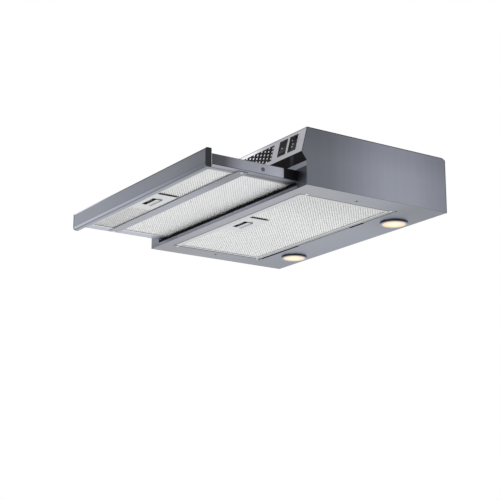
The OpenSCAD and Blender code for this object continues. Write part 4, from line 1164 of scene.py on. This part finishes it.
# %% Find the screws and fit the heads
def heaps(node, reach):
    """The lowest and highest corners of each heap of a node's points."""
    found = []
    for vertex in nodes[node].data.vertices:
        for heap in found:
            if (heap[0] - vertex.co).length < reach:
                heap.append(vertex.co.copy())
                break
        else:
            found.append([vertex.co.copy()])
    return [[Vector(map(pick, zip(*heap))) for pick in (min, max)] for heap in found]


def fit_screws(node, body, slot, finish, radius, height, axis, shank):
    """Heads and shanks in place of a node of plain screws. axis gives each head's outward side."""
    head_points, head_faces = screw_head(radius, height)
    shank_points, shank_faces = turned([(shank, 0.0), (shank, 1.0)], 16)
    points, faces = [], []
    for low, high in heaps(node, 30 * MM):
        out = axis(low, high)
        turn = out.to_track_quat("Z", "Y").to_matrix()
        middle = (low + high) / 2
        tip = max((p - middle).dot(out) for p in (low, high))
        seat = middle + out * (tip - height)
        depth = (high - low).dot(Vector(map(abs, out))) - height
        for source, source_faces, scale, shift in (
            (head_points, head_faces, 1.0, 0.0), (shank_points, shank_faces, depth, -depth)):
            base = len(points)
            for p in source:
                points.append(seat + turn @ Vector((p[0], p[1], p[2] * scale + shift)))
            faces += [[base + v for v in f] for f in source_faces]
    piece = make_piece(node + "_turned", points, faces, body, slot, finish)
    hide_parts(node)


bright_plating = cast_metal("bright_plating", (0.78, 0.79, 0.81), 0.22, 1.0, 900.0)
dark_plating = cast_metal("dark_plating", (0.07, 0.072, 0.08), 0.35, 0.8, 900.0)


def downward(low, high):
    """The side of a head that faces the hob."""
    return Vector((0, 0, -1))


def outward(low, high):
    """The side of a head that faces away from the tray's middle."""
    return Vector((math.copysign(1.0, low.x + high.x), 0, 0))


for node, body, slot, finish, radius, height, side, shank in (
        ("pan_screws", "casing", "bright_screw", bright_plating, 3.2, 1.3, downward, 1.5),
        ("seam_screws", "casing", "dark_screw", dark_plating, 2.7, 0.5, downward, 1.5),
        ("cross_bar_screws", "tray", "bright_screw", bright_plating, 3.0, 1.2, downward, 1.5),
        ("tray_stop_screws", "tray", "dark_screw", dark_plating, 4.0, 1.0, outward, 2.0)):
    fit_screws(node, body, slot, finish, radius * MM, height * MM, side, shank * MM)

# %% [markdown]
# ## Lamp lenses
# Each lamp is a clear disc with moulded dimples, one over each small light source. Lit, it glows
# warm white, brightest at the dimples and amber towards its rim. The disc is turned like a dish and
# its dimples are pressed in by a formula, and the glow is drawn with distances from the dimples.

# %% Place the dimples
DIMPLE_RINGS = ((0.0, 1), (10.5 * MM, 6))
DIMPLE_R = 4.2 * MM
DIMPLE_DEPTH = 0.7 * MM
LENS_RINGS = 26
LENS_SEGMENTS = 72
DIMPLES = [spoke(radius, k, count) for radius, count in DIMPLE_RINGS for k in range(count)]
print("dimples on each lens:", len(DIMPLES))


# %% Make the glow
GLOW_WHITE, GLOW_CREAM, GLOW_AMBER = (0.99, 0.93, 0.79), (0.93, 0.80, 0.58), (0.88, 0.62, 0.37)


def lens_glow(name, centre, radius):
    """A lit lens: white at the dimples, cream between them, amber at the rim."""
    finish = Finish(name, 0.15, roughness=0.3, emission_strength=1.0)
    x, y, _ = finish.xyz()
    spots = None
    for dx, dy in DIMPLES:
        far = finish.radius(x - (centre.x + dx), y - (centre.y + dy))
        spot = far.step(DIMPLE_R * 0.2, DIMPLE_R * 1.1, 1.0, 0.0)
        spots = spot if spots is None else spots.larger(spot)
    rim = finish.radius(x - centre.x, y - centre.y)
    field = finish.mixed(rim.step(radius * 0.35, radius), GLOW_CREAM, GLOW_AMBER)
    finish.feed("Emission Color", finish.mixed(spots, field, GLOW_WHITE))
    finish.feed("Base Color", (0.05, 0.045, 0.035))
    return finish.material


# %% Press the lenses
def lens(node):
    """A dimpled disc in place of a plain lens."""
    low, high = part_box(node)
    centre, radius = (low + high) / 2, (high.x - low.x) / 2
    rings = [radius * ring / LENS_RINGS for ring in range(1, LENS_RINGS + 1)]
    disc = [(r, low.z) for r in rings] + [(r, high.z) for r in rings[::-1]]
    flat, faces = turned(disc, LENS_SEGMENTS)
    points = []
    for x, y, z in flat:
        near = min(math.hypot(x - dx, y - dy) for dx, dy in DIMPLES)
        dip = DIMPLE_DEPTH * max(0.0, 1 - (near / DIMPLE_R) ** 2) if z == low.z else 0.0
        points.append((centre.x + x, centre.y + y, z + dip))
    glow = lens_glow(node + "_glow", centre, radius)
    piece = make_piece(node + "_dimpled", points, faces, "casing", "lamp_lens", glow)
    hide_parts(node)


lens("lamp_lens_left")
lens("lamp_lens_right")

# %% [markdown]
# ## Switch marks
# The rockers carry small pale marks: a dash on the fan's, and two dots and a dash on the light's.
# They are thin plates that lie on the rocker's own slope, found by sighting onto it from outside,
# and each tips with its rocker. Printed words would need a font, and none are wanted here.

# %% Press the marks onto the rockers
MARK_T = 0.15
MARK_SIDES = 20
PANEL_UP = Vector((0, math.cos(PANEL_LEAN), math.sin(PANEL_LEAN)))
PANEL_OUT = Vector((0, -math.sin(PANEL_LEAN), math.cos(PANEL_LEAN)))
SIGHT = 20.0


def dot(x, u, r):
    """A round outline on the rocker, x and u from its middle."""
    return [(x + dx, u + du) for dx, du in (spoke(r, k, MARK_SIDES) for k in range(MARK_SIDES))]


def dash(x, u, length, width):
    """A straight bar along the rocker's width."""
    return oblong(x - length / 2, u - width / 2, x + length / 2, u + width / 2)


def print_marks(rocker, body, outlines):
    """Thin plates on the rocker's face."""
    low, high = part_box(rocker)
    middle = (low + high) / 2
    points, faces = [], []
    for outline in outlines:
        ring = []
        for x, u in outline:
            eye = middle + Vector((x * MM, 0, 0)) + PANEL_UP * u * MM + PANEL_OUT * SIGHT * MM
            hit, spot, _, _ = nodes[rocker].ray_cast(eye, -PANEL_OUT)
            ring.append(spot if hit else eye)
        solid, walls = prism(ring, PANEL_OUT * MARK_T * MM)
        faces += [[len(points) + k for k in face] for face in walls]
        points += solid
    make_piece(rocker + "_marks", points, faces, body, "rocker_plastic", mark_ink)


mark_ink = plastic("mark_ink", (0.42, 0.43, 0.45), 0.5, 0.3)
print_marks("fan_rocker", "fan_key", [dash(-2.0, 0.0, 5.0, 1.8)])
print_marks(
    "light_rocker", "light_key",
    [dot(0.5, -1.4, 1.6), dot(-1.0, 5.8, 1.1), dash(-0.6, -7.4, 5.0, 1.8)])
